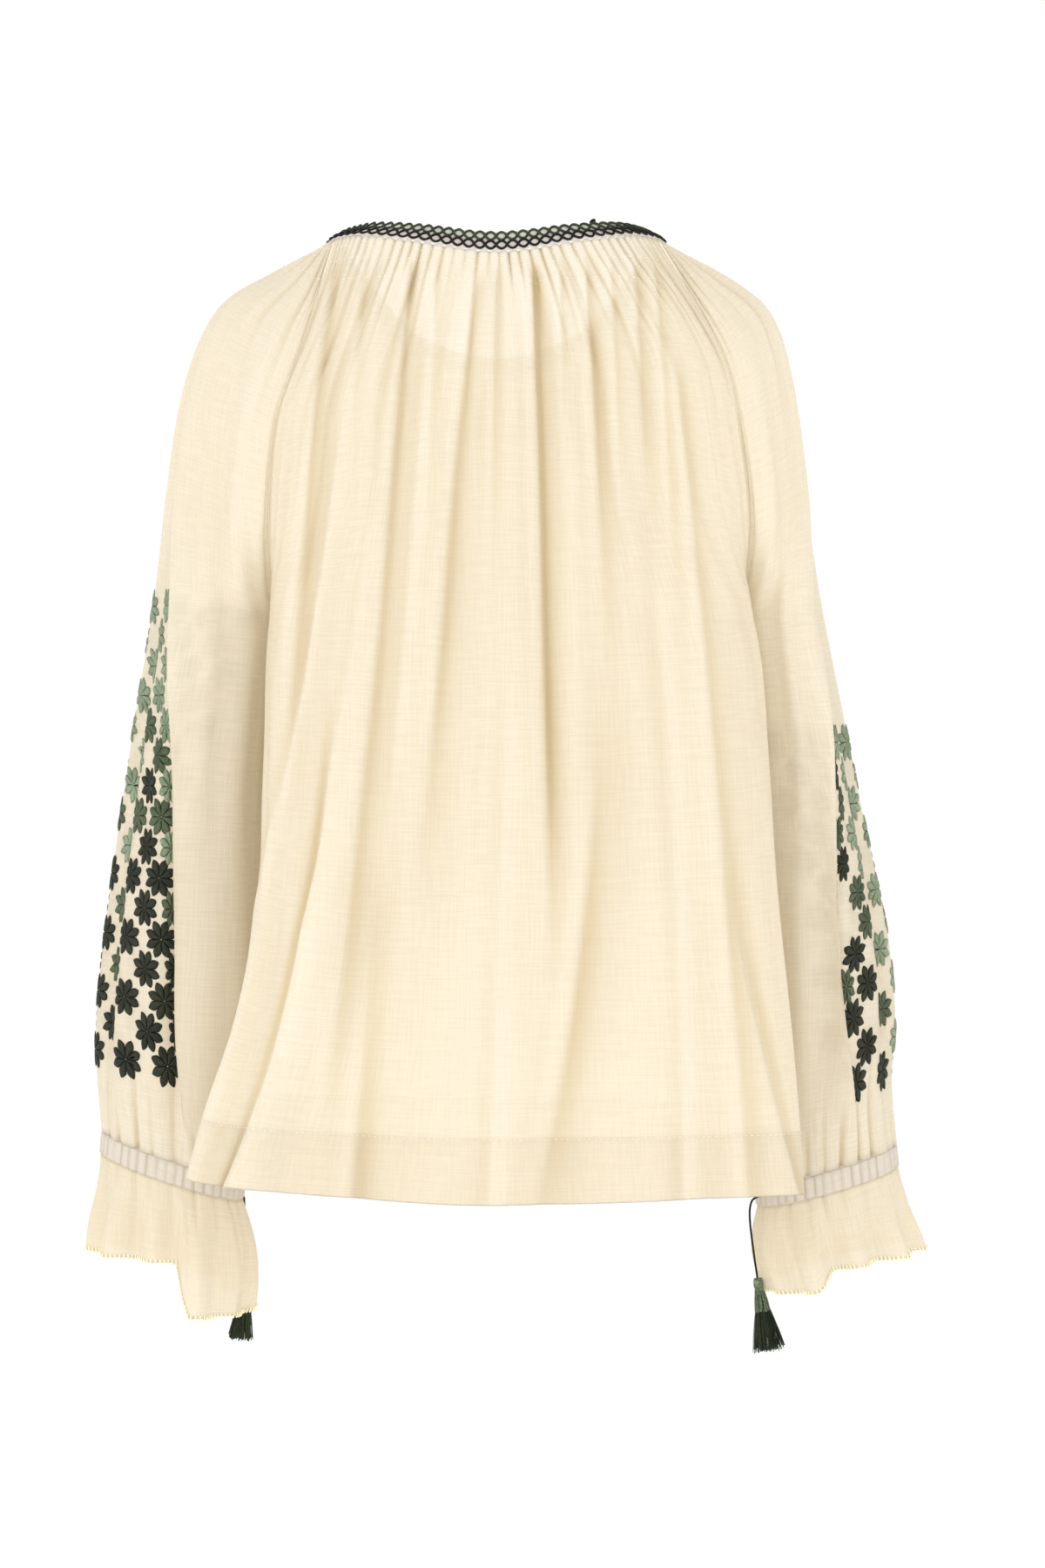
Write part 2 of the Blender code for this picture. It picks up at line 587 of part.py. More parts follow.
# Body panels
BACK_GATHERS = 40
FRONT_GATHERS = 26
SEAM_STEPS = [0, 0.035, 0.14, 0.26, 0.37, 0.52, 0.70, 0.86, 1.0]
BACK_ROWS = [UNDERARM * s for s in SEAM_STEPS] + [0.54, 0.72, 0.928, 0.933, 1.0]
FRONT_ROWS = [UNDERARM * s for s in SEAM_STEPS] + [0.65, 0.928, 0.933, 1.0]
cloth("back_panel", lambda u, v: body("back", u, v), 2 * BACK_GATHERS, BACK_ROWS, False, LINEN, HEM_TOP)
cloth("front_panel", lambda u, v: body("front", u, v), 2 * FRONT_GATHERS, FRONT_ROWS, True, LINEN, HEM_TOP)

# Sleeves, casings and ruffles
SLEEVE_ROWS = [SLEEVE_UNDERARM * s for s in SEAM_STEPS] + [0.40, 0.50, 0.60, 0.65, SLEEVE_END]
for hand, side in (("left", 1), ("right", -1)):
    cloth("sleeve_" + hand, lambda t, at: sleeve(side, t, at), SLEEVE_COLUMNS, SLEEVE_ROWS, side > 0, LINEN)
    cloth("cuff_ruffle_" + hand, lambda t, w: ruffle(side, t, w), SLEEVE_COLUMNS, [0, 0.4, 1.0], side > 0, LINEN)
    ring_band("cuff_casing_" + hand, SLEEVE_COLUMNS, casing_corners(side), GREY_LINEN)
ring_band("neckband", 88, band_corners, BAND_CREAM)

# Wrist ties, each out of a hole in its casing, and their tassels
TIE_RIGHT = table("at x y z", (0.12, -0.1812, -0.0132, -0.6945), (0.35, -0.1795, -0.0125, -0.7060),
                  (0.75, -0.1825, -0.0120, -0.7330), (1, -0.1850, -0.0120, -0.7500))
TIE_LEFT = table("at x y z", (0.12, 0.1925, -0.0790, -0.6950), (0.35, 0.1905, -0.0825, -0.7080),
                 (0.75, 0.1890, -0.0845, -0.7360), (1, 0.1890, -0.0850, -0.7540))
for hand, side, exit_t, rows in (("right", -1, 0.90, TIE_RIGHT), ("left", 1, -0.74, TIE_LEFT)):
    hole, out = casing_face(side, exit_t, 0.5)
    start = hole + out * SEAM_GAP
    first = {"at": 0.0, "x": start.x, "y": start.y, "z": start.z}
    cord("tie_cord_" + hand, tie_points([first] + rows), TIE_WIDTH, TIE_BLACK)
tassel("tassel_right", (-0.1851, -0.0120, -0.7504), (-0.1930, -0.0080, -0.8000), 0.012, TASSEL_GREEN)
tassel("tassel_left", (0.1890, -0.0850, -0.7544), (0.1935, -0.0840, -0.8040), 0.009, TASSEL_GREEN)
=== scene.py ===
"""Linen blouse: cloth, stitching, embroidery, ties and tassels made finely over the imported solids.

Metres, +Z up, the front faces -Y, the wearer's left is +X.
"""
import math

import bmesh
import bpy
import numpy as np
from mathutils import Matrix, Vector


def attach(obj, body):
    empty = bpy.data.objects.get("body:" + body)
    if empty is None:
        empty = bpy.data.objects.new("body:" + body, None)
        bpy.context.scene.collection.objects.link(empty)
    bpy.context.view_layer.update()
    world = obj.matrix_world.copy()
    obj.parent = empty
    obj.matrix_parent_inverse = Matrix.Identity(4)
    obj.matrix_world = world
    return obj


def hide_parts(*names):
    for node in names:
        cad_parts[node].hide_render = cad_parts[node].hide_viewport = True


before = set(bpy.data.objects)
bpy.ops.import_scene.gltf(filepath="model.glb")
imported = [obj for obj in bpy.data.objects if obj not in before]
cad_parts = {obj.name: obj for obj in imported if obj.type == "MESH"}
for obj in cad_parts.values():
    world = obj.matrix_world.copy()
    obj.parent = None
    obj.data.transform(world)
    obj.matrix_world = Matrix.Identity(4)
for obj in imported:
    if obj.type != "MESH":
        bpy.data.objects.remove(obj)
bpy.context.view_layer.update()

# Camera, level, looking at the back of the blouse from 2.5 m
lens = bpy.data.cameras.new("camera")
lens.sensor_fit = "VERTICAL"
lens.sensor_height = 36
lens.lens = 80
camera = bpy.data.objects.new("camera", lens)
camera.location = (-0.0156, 2.5, -0.394)
camera.rotation_euler = (math.pi / 2, 0, math.pi)
bpy.context.scene.collection.objects.link(camera)
bpy.context.scene.camera = camera

# Sizes shared with the solids, metres
SEAM_GAP = 0.0003
SEAM_INSET = 0.00026
BAND_HEIGHT = 0.0145
CASING_HEIGHT = 0.0155
CASING_PROUD = 0.0012
TIE_WIDTH = 0.0016
NECK_SHIFT = 0.003
BACK_SEAM_TURN = 70.0
FRONT_SEAM_TURN = 110.0
UNDERARM = 0.40
SLEEVE_UNDERARM = 0.31
SLEEVE_END = 0.683
SLEEVE_GATHERS = 44
BACK_GATHERS = 40
FRONT_GATHERS = 26

# Sizes of the cloth itself
LINEN_THICK = 0.0005
HEM_TOP = 0.930
HEM_GAP = 0.0011

# Width and length that each piece is cut to, metres
CUT = {
    "back": (0.60, 0.78),
    "front": (0.56, 0.72),
    "sleeve": (0.40, 0.70),
    "ruffle": (0.36, 0.080),
    "casing": (0.30, 0.020),
    "neckband": (0.66, 0.018),
}


def table(names, *rows):
    """Rows of numbers under named columns."""
    keys = names.split()
    return [dict(zip(keys, row)) for row in rows]


# Neckband's lower edge, degrees from the middle of the back, carried a little past both middles
NECK = table(
    "at x y z lean",
    (-30, -0.063, 0.0640, -0.0135, 0.60),
    (0, 0.000, 0.0700, -0.0225, 0.25),
    (30, 0.063, 0.0640, -0.0135, 0.60),
    (55, 0.101, 0.0430, -0.0075, 0.82),
    (90, 0.1225, 0.0000, -0.0110, 0.88),
    (125, 0.101, -0.0450, -0.0400, 0.70),
    (150, 0.062, -0.0750, -0.0760, 0.50),
    (180, 0.000, -0.0880, -0.0920, 0.40),
    (210, -0.062, -0.0750, -0.0760, 0.50),
)

# Raglan seam from the neckband to the underarm
RAGLAN = table(
    "at x_left x_right y_back z_back y_front z_front",
    (0.30, 0.1395, 0.1540, 0.0750, -0.0910, -0.0780, -0.0950),
    (0.47, 0.1550, 0.1660, 0.0850, -0.1400, -0.0860, -0.1420),
    (0.69, 0.1610, 0.1740, 0.0760, -0.2090, -0.0740, -0.2090),
    (0.86, 0.1605, 0.1700, 0.0420, -0.2550, -0.0380, -0.2550),
    (1.00, 0.1580, 0.1630, 0.0050, -0.2750, 0.0050, -0.2750),
)

# Side seam from the underarm to the hem
SIDE = table(
    "at x_left x_right y z_left z_right",
    (0.40, 0.1580, 0.1630, 0.005, -0.275, -0.275),
    (0.55, 0.1590, 0.1640, 0.002, -0.372, -0.375),
    (0.75, 0.1600, 0.1650, 0.000, -0.502, -0.512),
    (1.00, 0.1620, 0.1660, 0.000, -0.670, -0.688),
)

# Middle line and back corners of the back panel
BACK = table(
    "at y z out_left out_right push lift_left lift_right",
    (0.00, 0.0700, -0.0225, 0.000, 0.000, 0.000, 0.000, 0.000),
    (0.06, 0.0790, -0.0480, 0.000, 0.000, 0.000, 0.000, 0.000),
    (0.15, 0.0900, -0.1050, 0.002, 0.002, 0.002, 0.000, 0.000),
    (0.28, 0.1020, -0.1900, 0.006, 0.007, 0.005, 0.000, 0.000),
    (0.40, 0.1120, -0.2850, 0.028, 0.044, 0.014, 0.000, 0.000),
    (0.55, 0.1200, -0.3850, 0.031, 0.055, 0.020, 0.000, 0.000),
    (0.70, 0.1270, -0.4850, 0.037, 0.062, 0.024, 0.000, 0.000),
    (0.82, 0.1320, -0.5650, 0.054, 0.070, 0.027, 0.001, 0.000),
    (0.92, 0.1360, -0.6280, 0.074, 0.076, 0.028, 0.004, 0.004),
    (1.00, 0.1390, -0.6800, 0.088, 0.080, 0.029, 0.010, 0.009),
)

# The same for the front panel
FRONT = table(
    "at y z out_left out_right push lift_left lift_right",
    (0.00, -0.0880, -0.0920, 0.000, 0.000, 0.000, 0.000, 0.000),
    (0.06, -0.0960, -0.1160, 0.000, 0.000, 0.000, 0.000, 0.000),
    (0.15, -0.1100, -0.1560, 0.003, 0.003, -0.002, 0.000, 0.000),
    (0.28, -0.1240, -0.2180, 0.008, 0.008, -0.005, 0.000, 0.000),
    (0.40, -0.1300, -0.2880, 0.018, 0.018, -0.014, 0.000, 0.000),
    (0.55, -0.1330, -0.3860, 0.020, 0.020, -0.017, 0.000, 0.000),
    (0.75, -0.1380, -0.5140, 0.024, 0.024, -0.019, 0.000, 0.000),
    (1.00, -0.1450, -0.6780, 0.028, 0.028, -0.020, 0.000, 0.000),
)

# Folds down the back: place across at three heights, where they run, width and depth
BACK_FOLDS = table(
    "high middle low start end width depth",
    (0.116, 0.138, 0.148, 0.02, 0.72, 0.012, -0.0040),
    (0.088, 0.108, 0.140, 0.03, 0.90, 0.014, 0.0045),
    (0.063, 0.078, 0.112, 0.02, 0.95, 0.012, -0.0050),
    (0.042, 0.060, 0.086, 0.04, 0.80, 0.012, 0.0035),
    (0.018, 0.042, 0.056, 0.10, 0.78, 0.011, -0.0050),
    (-0.002, 0.004, 0.010, 0.05, 0.95, 0.020, 0.0035),
    (-0.023, -0.034, -0.036, 0.02, 0.80, 0.009, -0.0060),
    (-0.042, -0.052, -0.058, 0.06, 0.75, 0.012, 0.0040),
    (-0.062, -0.078, -0.096, 0.02, 0.60, 0.011, -0.0042),
    (-0.080, -0.095, -0.118, 0.04, 0.85, 0.014, 0.0040),
    (-0.096, -0.112, -0.130, 0.02, 0.62, 0.011, -0.0040),
    (-0.116, -0.138, -0.158, 0.04, 0.80, 0.014, 0.0035),
    (-0.060, -0.072, -0.028, 0.42, 1.30, 0.016, -0.0065),
    (0.060, 0.082, 0.098, 0.60, 1.30, 0.013, -0.0055),
    (0.110, 0.112, 0.176, 0.62, 1.30, 0.014, 0.0120),
    (0.130, 0.138, 0.202, 0.66, 1.30, 0.011, -0.0060),
    (-0.010, 0.010, 0.040, 0.62, 1.30, 0.022, 0.0050),
    (-0.090, -0.100, -0.090, 0.60, 1.30, 0.022, 0.0050),
    (-0.150, -0.155, -0.140, 0.60, 1.30, 0.016, -0.0045),
)

# Folds down the front, plain and evenly soft
FRONT_FOLDS = table(
    "high middle low start end width depth",
    (0.088, 0.112, 0.132, 0.04, 1.30, 0.018, -0.0050),
    (0.062, 0.080, 0.098, 0.02, 1.30, 0.018, 0.0045),
    (0.036, 0.046, 0.060, 0.02, 1.30, 0.016, -0.0055),
    (0.010, 0.012, 0.018, 0.05, 1.30, 0.018, 0.0045),
    (-0.018, -0.022, -0.026, 0.02, 1.30, 0.016, -0.0050),
    (-0.045, -0.056, -0.064, 0.02, 1.30, 0.018, 0.0050),
    (-0.070, -0.090, -0.106, 0.03, 1.30, 0.018, -0.0055),
    (-0.092, -0.118, -0.138, 0.05, 1.30, 0.016, 0.0040),
)

# Narrow creases over the broad folds: dark valleys below zero, bright edges above it
BACK_CREASES = table(
    "high middle low start end width depth",
    (0.1210, 0.147, 0.165, 0.01, 0.66, 0.0050, -0.0026),
    (0.0645, 0.090, 0.122, 0.01, 0.95, 0.0046, -0.0026),
    (0.0185, 0.045, 0.060, 0.02, 0.70, 0.0046, -0.0026),
    (-0.0250, -0.034, -0.040, 0.01, 0.80, 0.0046, -0.0040),
    (-0.0633, -0.080, -0.092, 0.01, 0.50, 0.0046, -0.0026),
    (-0.0974, -0.110, -0.120, 0.01, 0.36, 0.0042, -0.0022),
    (-0.0660, -0.069, -0.029, 0.48, 1.10, 0.0060, -0.0026),
    (0.0760, 0.080, 0.097, 0.66, 1.50, 0.0060, -0.0022),
    (0.1000, 0.147, 0.217, 0.18, 1.50, 0.0040, 0.0018),
    (0.1000, 0.115, 0.185, 0.60, 1.50, 0.0042, 0.0020),
    (0.0750, 0.113, 0.190, 0.26, 0.80, 0.0042, 0.0014),
    (0.0490, 0.072, 0.100, 0.08, 0.72, 0.0042, 0.0014),
    (0.0960, 0.112, 0.124, 0.01, 0.34, 0.0045, -0.0017),
    (0.0440, 0.054, 0.068, 0.01, 0.30, 0.0040, -0.0018),
    (0.0020, 0.006, 0.012, 0.01, 0.44, 0.0038, -0.0018),
    (-0.0440, -0.052, -0.060, 0.01, 0.32, 0.0038, -0.0018),
    (-0.0800, -0.092, -0.104, 0.01, 0.42, 0.0038, -0.0016),
    (-0.1120, -0.128, -0.138, 0.01, 0.48, 0.0044, -0.0018),
    (-0.1200, -0.150, -0.172, 0.10, 1.20, 0.0060, -0.0020),
    (-0.0900, -0.118, -0.128, 0.30, 1.50, 0.0052, 0.0014),
    (-0.0100, -0.006, 0.004, 0.40, 1.50, 0.0060, 0.0012),
)

# The same for the front
FRONT_CREASES = table(
    "high middle low start end width depth",
    (0.078, 0.092, 0.110, 0.01, 0.70, 0.0050, -0.0024),
    (0.046, 0.056, 0.070, 0.01, 0.50, 0.0045, -0.0024),
    (0.016, 0.020, 0.026, 0.01, 0.80, 0.0045, -0.0026),
    (-0.012, -0.016, -0.020, 0.01, 0.48, 0.0045, -0.0022),
    (-0.038, -0.048, -0.060, 0.01, 0.85, 0.0045, -0.0026),
    (-0.068, -0.082, -0.100, 0.01, 0.60, 0.0050, -0.0022),
)

# Folds that lap over the cloth beside them, towards the back's left and right corners
BACK_LAPS = table(
    "high middle low start end width depth",
    (0.1400, 0.1165, 0.184, 0.44, 1.60, 0.050, 0.0120),
    (-0.1350, -0.150, -0.205, 0.58, 1.60, 0.060, 0.0045),
)

# Outer line of the sleeves from the neckband to the wrist, and the fullness either side of it
SLEEVE = table(
    "at x_left z_left x_right z_right y bulge_x bulge_back bulge_front bulge_z",
    (0.000, 0.1225, -0.0110, 0.1225, -0.0110, 0.000, 0.000, 0.004, 0.004, 0.000),
    (0.050, 0.1695, -0.0310, 0.1650, -0.0330, 0.000, 0.004, 0.008, 0.008, 0.006),
    (0.090, 0.2025, -0.0540, 0.1890, -0.0570, 0.000, 0.012, 0.012, 0.012, 0.010),
    (0.144, 0.2230, -0.1050, 0.2025, -0.1000, 0.000, 0.014, 0.016, 0.018, 0.004),
    (0.220, 0.2350, -0.1800, 0.2135, -0.1780, -0.003, 0.010, 0.030, 0.026, 0.000),
    (0.310, 0.2465, -0.2700, 0.2275, -0.2720, -0.007, 0.000, 0.068, 0.060, 0.000),
    (0.425, 0.2650, -0.3850, 0.2520, -0.3900, -0.015, 0.000, 0.070, 0.056, 0.000),
    (0.540, 0.2840, -0.5000, 0.2770, -0.5000, -0.023, 0.000, 0.068, 0.052, 0.000),
    (0.606, 0.2910, -0.5650, 0.2835, -0.5650, -0.027, 0.000, 0.066, 0.052, 0.000),
    (0.650, 0.2915, -0.6100, 0.2820, -0.6100, -0.030, 0.000, 0.059, 0.050, 0.000),
    (0.683, 0.2885, -0.6450, 0.2860, -0.6550, -0.030, 0.000, 0.047, 0.046, 0.000),
)

# Underarm seam of the sleeves, and the edge of the fold that hangs down the back of each
SLEEVE_INSIDE = table(
    "at x_left z_left x_right z_right y edge_left edge_right drop pinch_left pinch_right",
    (0.310, 0.1580, -0.2750, 0.1630, -0.2750, 0.005, 0.31, 0.28, 0.007, 0.10, 0.20),
    (0.425, 0.1700, -0.3880, 0.1740, -0.3900, -0.008, 0.455, 0.395, 0.011, 0.08, 0.12),
    (0.540, 0.1745, -0.5060, 0.1780, -0.5080, -0.020, 0.535, 0.47, 0.013, 0.04, 0.05),
    (0.606, 0.1770, -0.5780, 0.1800, -0.5800, -0.025, 0.55, 0.445, 0.012, 0.02, 0.02),
    (0.650, 0.1820, -0.6350, 0.1830, -0.6400, -0.030, 0.565, 0.38, 0.007, 0.00, 0.00),
    (0.683, 0.1865, -0.6790, 0.1850, -0.6840, -0.030, 0.585, 0.35, 0.000, 0.00, 0.00),
)

# Wrist ruffles: outer and inner end of the free edge, where its fold begins and how much it steps down there
RUFFLE = {
    "left": {"out": (0.2970, -0.030, -0.7290), "in": (0.1800, -0.030, -0.7740), "edge": 0.56, "step": 0.80},
    "right": {"out": (0.3040, -0.030, -0.7280), "in": (0.1905, -0.030, -0.7590), "edge": 0.58, "step": 0.40},
}

# Ties from their holes in the casings
TIE = {
    "right": table("at x y z", (0.12, -0.1812, -0.0132, -0.6945), (0.35, -0.1795, -0.0125, -0.7060),
                   (0.75, -0.1825, -0.0120, -0.7330), (1, -0.1850, -0.0120, -0.7500)),
    "left": table("at x y z", (0.12, 0.1925, -0.0790, -0.6950), (0.35, 0.1905, -0.0825, -0.7080),
                  (0.75, 0.1890, -0.0845, -0.7360), (1, 0.1890, -0.0850, -0.7540)),
}

# Where each tie's hole is round its casing, and the two ends of each tassel
TIE_EXIT = {"right": 0.90, "left": -0.74}
TASSEL = {
    "right": {"top": (-0.1851, -0.0120, -0.7504), "tip": (-0.1930, -0.0080, -0.8000), "spread": 0.012},
    "left": {"top": (0.1890, -0.0850, -0.7544), "tip": (0.1935, -0.0840, -0.8040), "spread": 0.009},
}
SIDES = {"left": 1, "right": -1}
HAND = {1: "left", -1: "right"}


def smooth(t):
    """Soft step from 0 to 1."""
    t = np.clip(t, 0.0, 1.0)
    return t * t * (3 - 2 * t)


def mix(a, b, t):
    return a + (b - a) * t


def track(rows, key, at):
    """Values of one column at places down a table, on a smooth curve through its rows."""
    place = np.array([row["at"] for row in rows], float)
    value = np.array([row[key] for row in rows], float)
    slope = np.empty_like(value)
    slope[1:-1] = (value[2:] - value[:-2]) / (place[2:] - place[:-2])
    slope[0] = (value[1] - value[0]) / (place[1] - place[0])
    slope[-1] = (value[-1] - value[-2]) / (place[-1] - place[-2])
    at = np.clip(np.asarray(at, float), place[0], place[-1])
    i = np.clip(np.searchsorted(place, at, side="right") - 1, 0, len(place) - 2)
    span = place[i + 1] - place[i]
    t = (at - place[i]) / span
    return ((2 * t ** 3 - 3 * t ** 2 + 1) * value[i] + (t ** 3 - 2 * t ** 2 + t) * span * slope[i]
            + (3 * t ** 2 - 2 * t ** 3) * value[i + 1] + (t ** 3 - t ** 2) * span * slope[i + 1])


def rows_of(*parts):
    """Points as rows of x, y, z."""
    return np.stack(np.broadcast_arrays(*parts), -1).astype(float)


def unit(way):
    return way / np.maximum(np.linalg.norm(way, axis=-1, keepdims=True), 1e-12)


def turned_to(ways, towards):
    """Directions turned round wherever they point away from the others given."""
    return ways * np.where((ways * towards).sum(-1) < 0, -1, 1)[..., None]


def run_along(points):
    """Length along a row of points, from 0 at the first."""
    return np.r_[0, np.cumsum(np.linalg.norm(np.diff(points, axis=0), axis=1))]


def picked(at, run, points):
    """Points at given lengths along a run of them."""
    return np.stack([np.interp(at, run, points[:, k]) for k in range(3)], -1)


def neck(turn):
    """Neckband's lower edge; turn is signed degrees from the middle of the back, + to the left."""
    turn = np.asarray(turn, float)
    far = np.abs(turn)
    return rows_of(NECK_SHIFT + np.where(turn >= 0, 1, -1) * track(NECK, "x", far),
                   track(NECK, "y", far), track(NECK, "z", far))


def neck_up(turn):
    """Way the band rises from its lower edge, leaning inwards."""
    lean = track(NECK, "lean", np.abs(turn))[..., None]
    inward = rows_of(NECK_SHIFT, 0, 0) - neck(turn)
    inward[..., 2] = 0
    return unit(unit(inward) * lean + np.sqrt(1 - lean ** 2) * np.array([0, 0, 1.0]))


def raglan(way, face, s):
    """Points on a raglan seam, s from neckband to underarm; way is 1 on the left and -1 on the right."""
    turn = BACK_SEAM_TURN if face == "back" else FRONT_SEAM_TURN
    y, z = "y_" + face, "z_" + face
    both = []
    for side, key in ((1, "x_left"), (-1, "x_right")):
        start = neck(side * turn)
        rows = [{"at": 0.0, key: side * start[0], y: start[1], z: start[2]}] + RAGLAN
        both.append(rows_of(side * track(rows, key, s), track(rows, y, s), track(rows, z, s)))
    return np.where(np.asarray(way)[..., None] > 0, both[0], both[1])


def by_hand(rows, key, way, at):
    """One column's value for the left or the right side."""
    return np.where(way > 0, track(rows, key + "left", at), track(rows, key + "right", at))


def body_base(face, u, v):
    """Panel without its folds; u from the right seam -1 to the left seam 1, v from neck to hem."""
    way = np.where(u >= 0, 1.0, -1.0)
    rows = BACK if face == "back" else FRONT
    centre = rows_of(NECK_SHIFT, track(rows, "y", v), track(rows, "z", v))
    high = raglan(way, face, v / UNDERARM)
    low = rows_of(way * by_hand(SIDE, "x_", way, v), track(SIDE, "y", v), by_hand(SIDE, "z_", way, v))
    edge = np.where((v <= UNDERARM)[:, None], high, low)
    angle = np.abs(u) * 90
    a = np.radians(angle)
    point = rows_of(mix(centre[:, 0], edge[:, 0], np.sin(a)), mix(edge[:, 1], centre[:, 1], np.cos(a)),
                    mix(centre[:, 2], edge[:, 2], 1 - np.cos(a) ** 1.5))
    reach = np.where(angle > 48, 42, 48)
    corner = np.cos(np.radians(90 * np.minimum(np.abs(angle - 48) / reach, 1))) ** 2
    point[:, 0] += way * by_hand(rows, "out_", way, v) * corner
    point[:, 1] += track(rows, "push", v) * corner
    point[:, 2] += by_hand(rows, "lift_", way, v) * corner
    ring = neck(BACK_SEAM_TURN * u if face == "back" else way * 180 - BACK_SEAM_TURN * u)
    first, seam = rows[0], raglan(way, face, np.zeros_like(v))
    start = rows_of(mix(NECK_SHIFT, seam[:, 0], np.sin(a)), mix(seam[:, 1], first["y"], np.cos(a)),
                    mix(first["z"], seam[:, 2], 1 - np.cos(a) ** 1.5))
    return point + (ring - start) * (1 - smooth(v / 0.16))[:, None]


def wander(fold, v):
    """Place across of a fold at v, on a curve through its high, middle and low places."""
    t = (v - 0.1) / 0.9
    return (fold["high"] * (1 - t) * (1 - 2 * t) + fold["middle"] * 4 * t * (1 - t)
            + fold["low"] * t * (2 * t - 1))


def fold_depth(folds, x, v):
    """Soft ridges and troughs that wander across as they go down."""
    depth = np.zeros_like(x)
    for fold in folds:
        near = np.minimum(np.abs(x - wander(fold, v)) / fold["width"], 2)
        run = smooth((v - fold["start"]) / 0.12) * smooth((fold["end"] - v) / 0.25)
        depth += fold["depth"] * run * np.cos(near * math.pi / 4) ** 2
    return depth


def crease_depth(creases, x, v):
    """Narrow creases with one steep side, sharpest near the gathers."""
    depth = np.zeros_like(x)
    for crease in creases:
        width = crease["width"] * (1 + 0.6 * smooth(v / crease["end"]))
        off = (x - wander(crease, v)) / width
        run = smooth((v - crease["start"]) / (0.04 + 0.4 * crease["start"]))
        run = run * smooth((crease["end"] - v) / 0.3)
        depth += crease["depth"] * run * np.exp(-np.where(off > 0, 2.8 * off, off) ** 2)
        depth -= 0.4 * crease["depth"] * run * np.exp(-((off - 1.1) / 0.7) ** 2)
    return depth


def lap_depth(laps, x, v):
    """Folds that hang over what is beside them: a steep step at the edge, then a slow fall back."""
    depth = np.zeros_like(x)
    for lap in laps:
        inward = (wander(lap, v) - x) * np.sign(lap["low"])
        run = smooth((v - lap["start"]) / 0.25) * smooth((lap["end"] - v) / 0.2)
        fall = 1 - smooth((inward - 0.004) / lap["width"])
        depth += lap["depth"] * run * smooth(inward / 0.0035) * fall
        depth -= 0.25 * lap["depth"] * run * np.exp(-((inward + 0.003) / 0.004) ** 2)
    return depth


def facing(base, u, v, step=0.004):
    """Directions at right angles to a surface, from the points beside each of its points."""
    across = base(np.minimum(u + step, 1), v) - base(np.maximum(u - step, -1), v)
    down = base(u, np.minimum(v + step, 1)) - base(u, np.maximum(v - step, 0))
    return unit(np.cross(across, down))


def gathers_at(count, u, down, seed, depth, length):
    """Uneven row of small gathers: flat ridges, and sharp valleys of uneven depth and length."""
    rng = np.random.default_rng(int(seed * 10))
    deep = rng.uniform(0.35, 1.45, int(count) + 6)
    long = rng.uniform(0.45, 1.75, int(count) + 6)
    drift = (0.9 * np.sin(5.3 * u + seed) + 0.6 * np.sin(13.0 * u + 2 * seed)
             + 0.45 * np.sin(29.0 * u + seed))
    phase = (math.pi * count * (u + 1) + drift) / 2 + 2
    valley = np.clip(np.floor(phase / math.pi).astype(int), 0, len(deep) - 1)
    fade = 1 - smooth(down / (length * long[valley]))
    off = np.abs(np.sin(phase - (valley + 0.5) * math.pi))
    return depth * fade * (0.30 * off - deep[valley] * np.exp(-(off / 0.36) ** 2))


def body_relief(face, point, u, v):
    """What stands out of a panel: small gathers, soft pleats below them, folds, creases and ripples."""
    back = face == "back"
    fade = smooth((mix(1.0, 0.80, smooth((v - 0.30) / 0.12)) - np.abs(u)) / 0.12)
    rim = smooth((1 - np.abs(u)) / 0.03)
    count = BACK_GATHERS if back else FRONT_GATHERS
    gathers = gathers_at(count, u, v, 0.7 if back else 2.1, 0.0018, 0.13) * rim
    pleats = gathers_at(count / 3, u, v - 0.05, 1.9 if back else 0.4, 0.0022, 0.34) * smooth(v / 0.05) * rim
    folds = fold_depth(BACK_FOLDS if back else FRONT_FOLDS, point[:, 0], v) * fade
    creases = crease_depth(BACK_CREASES if back else FRONT_CREASES, point[:, 0], v) * fade
    laps = lap_depth(BACK_LAPS, point[:, 0], v) * rim if back else 0 * v
    ripples = 0.0009 * np.sin(61 * u + 6 * v) * np.sin(9 * v + 4 * u) * smooth((v - 0.1) / 0.2) * fade
    return gathers, pleats, folds, creases, ripples, laps


def body(face, u, v):
    """Panel with its neck gathers, folds and creases."""
    point = body_base(face, u, v)
    out = turned_to(facing(lambda a, b: body_base(face, a, b), u, v), point * [1, 1, 0])
    return point + out * sum(body_relief(face, point, u, v))[:, None]


def on_body(face, u, v, step=0.003, lowest=1.0):
    """Points on a panel, and the ways it faces there, taken no lower than a given place."""
    point = body(face, u, v)
    out = facing(lambda a, b: body(face, a, b), u, np.minimum(v, lowest), step)
    return point, turned_to(out, point * [1, 1, 0])


def body_tone(face, u, v):
    """Painted shade for a panel: how far the cloth is folded in, from 0 on a ridge to 1 in a valley, where
    the linen is painted darker and lets less light through.
    """
    gathers, pleats, folds, creases, _, laps = body_relief(face, body_base(face, u, v), u, v)
    # Painted shadow in the narrow valley outside each lap's edge, where it hangs over the cloth beside it;
    # the raised lap itself is painted a little lighter.
    lap_painted_shadow = np.where(laps < 0, -330 * laps, -8 * laps)
    return np.clip(0.14 - 260 * gathers - 70 * pleats - 12 * folds - 170 * creases + lap_painted_shadow, 0, 1)


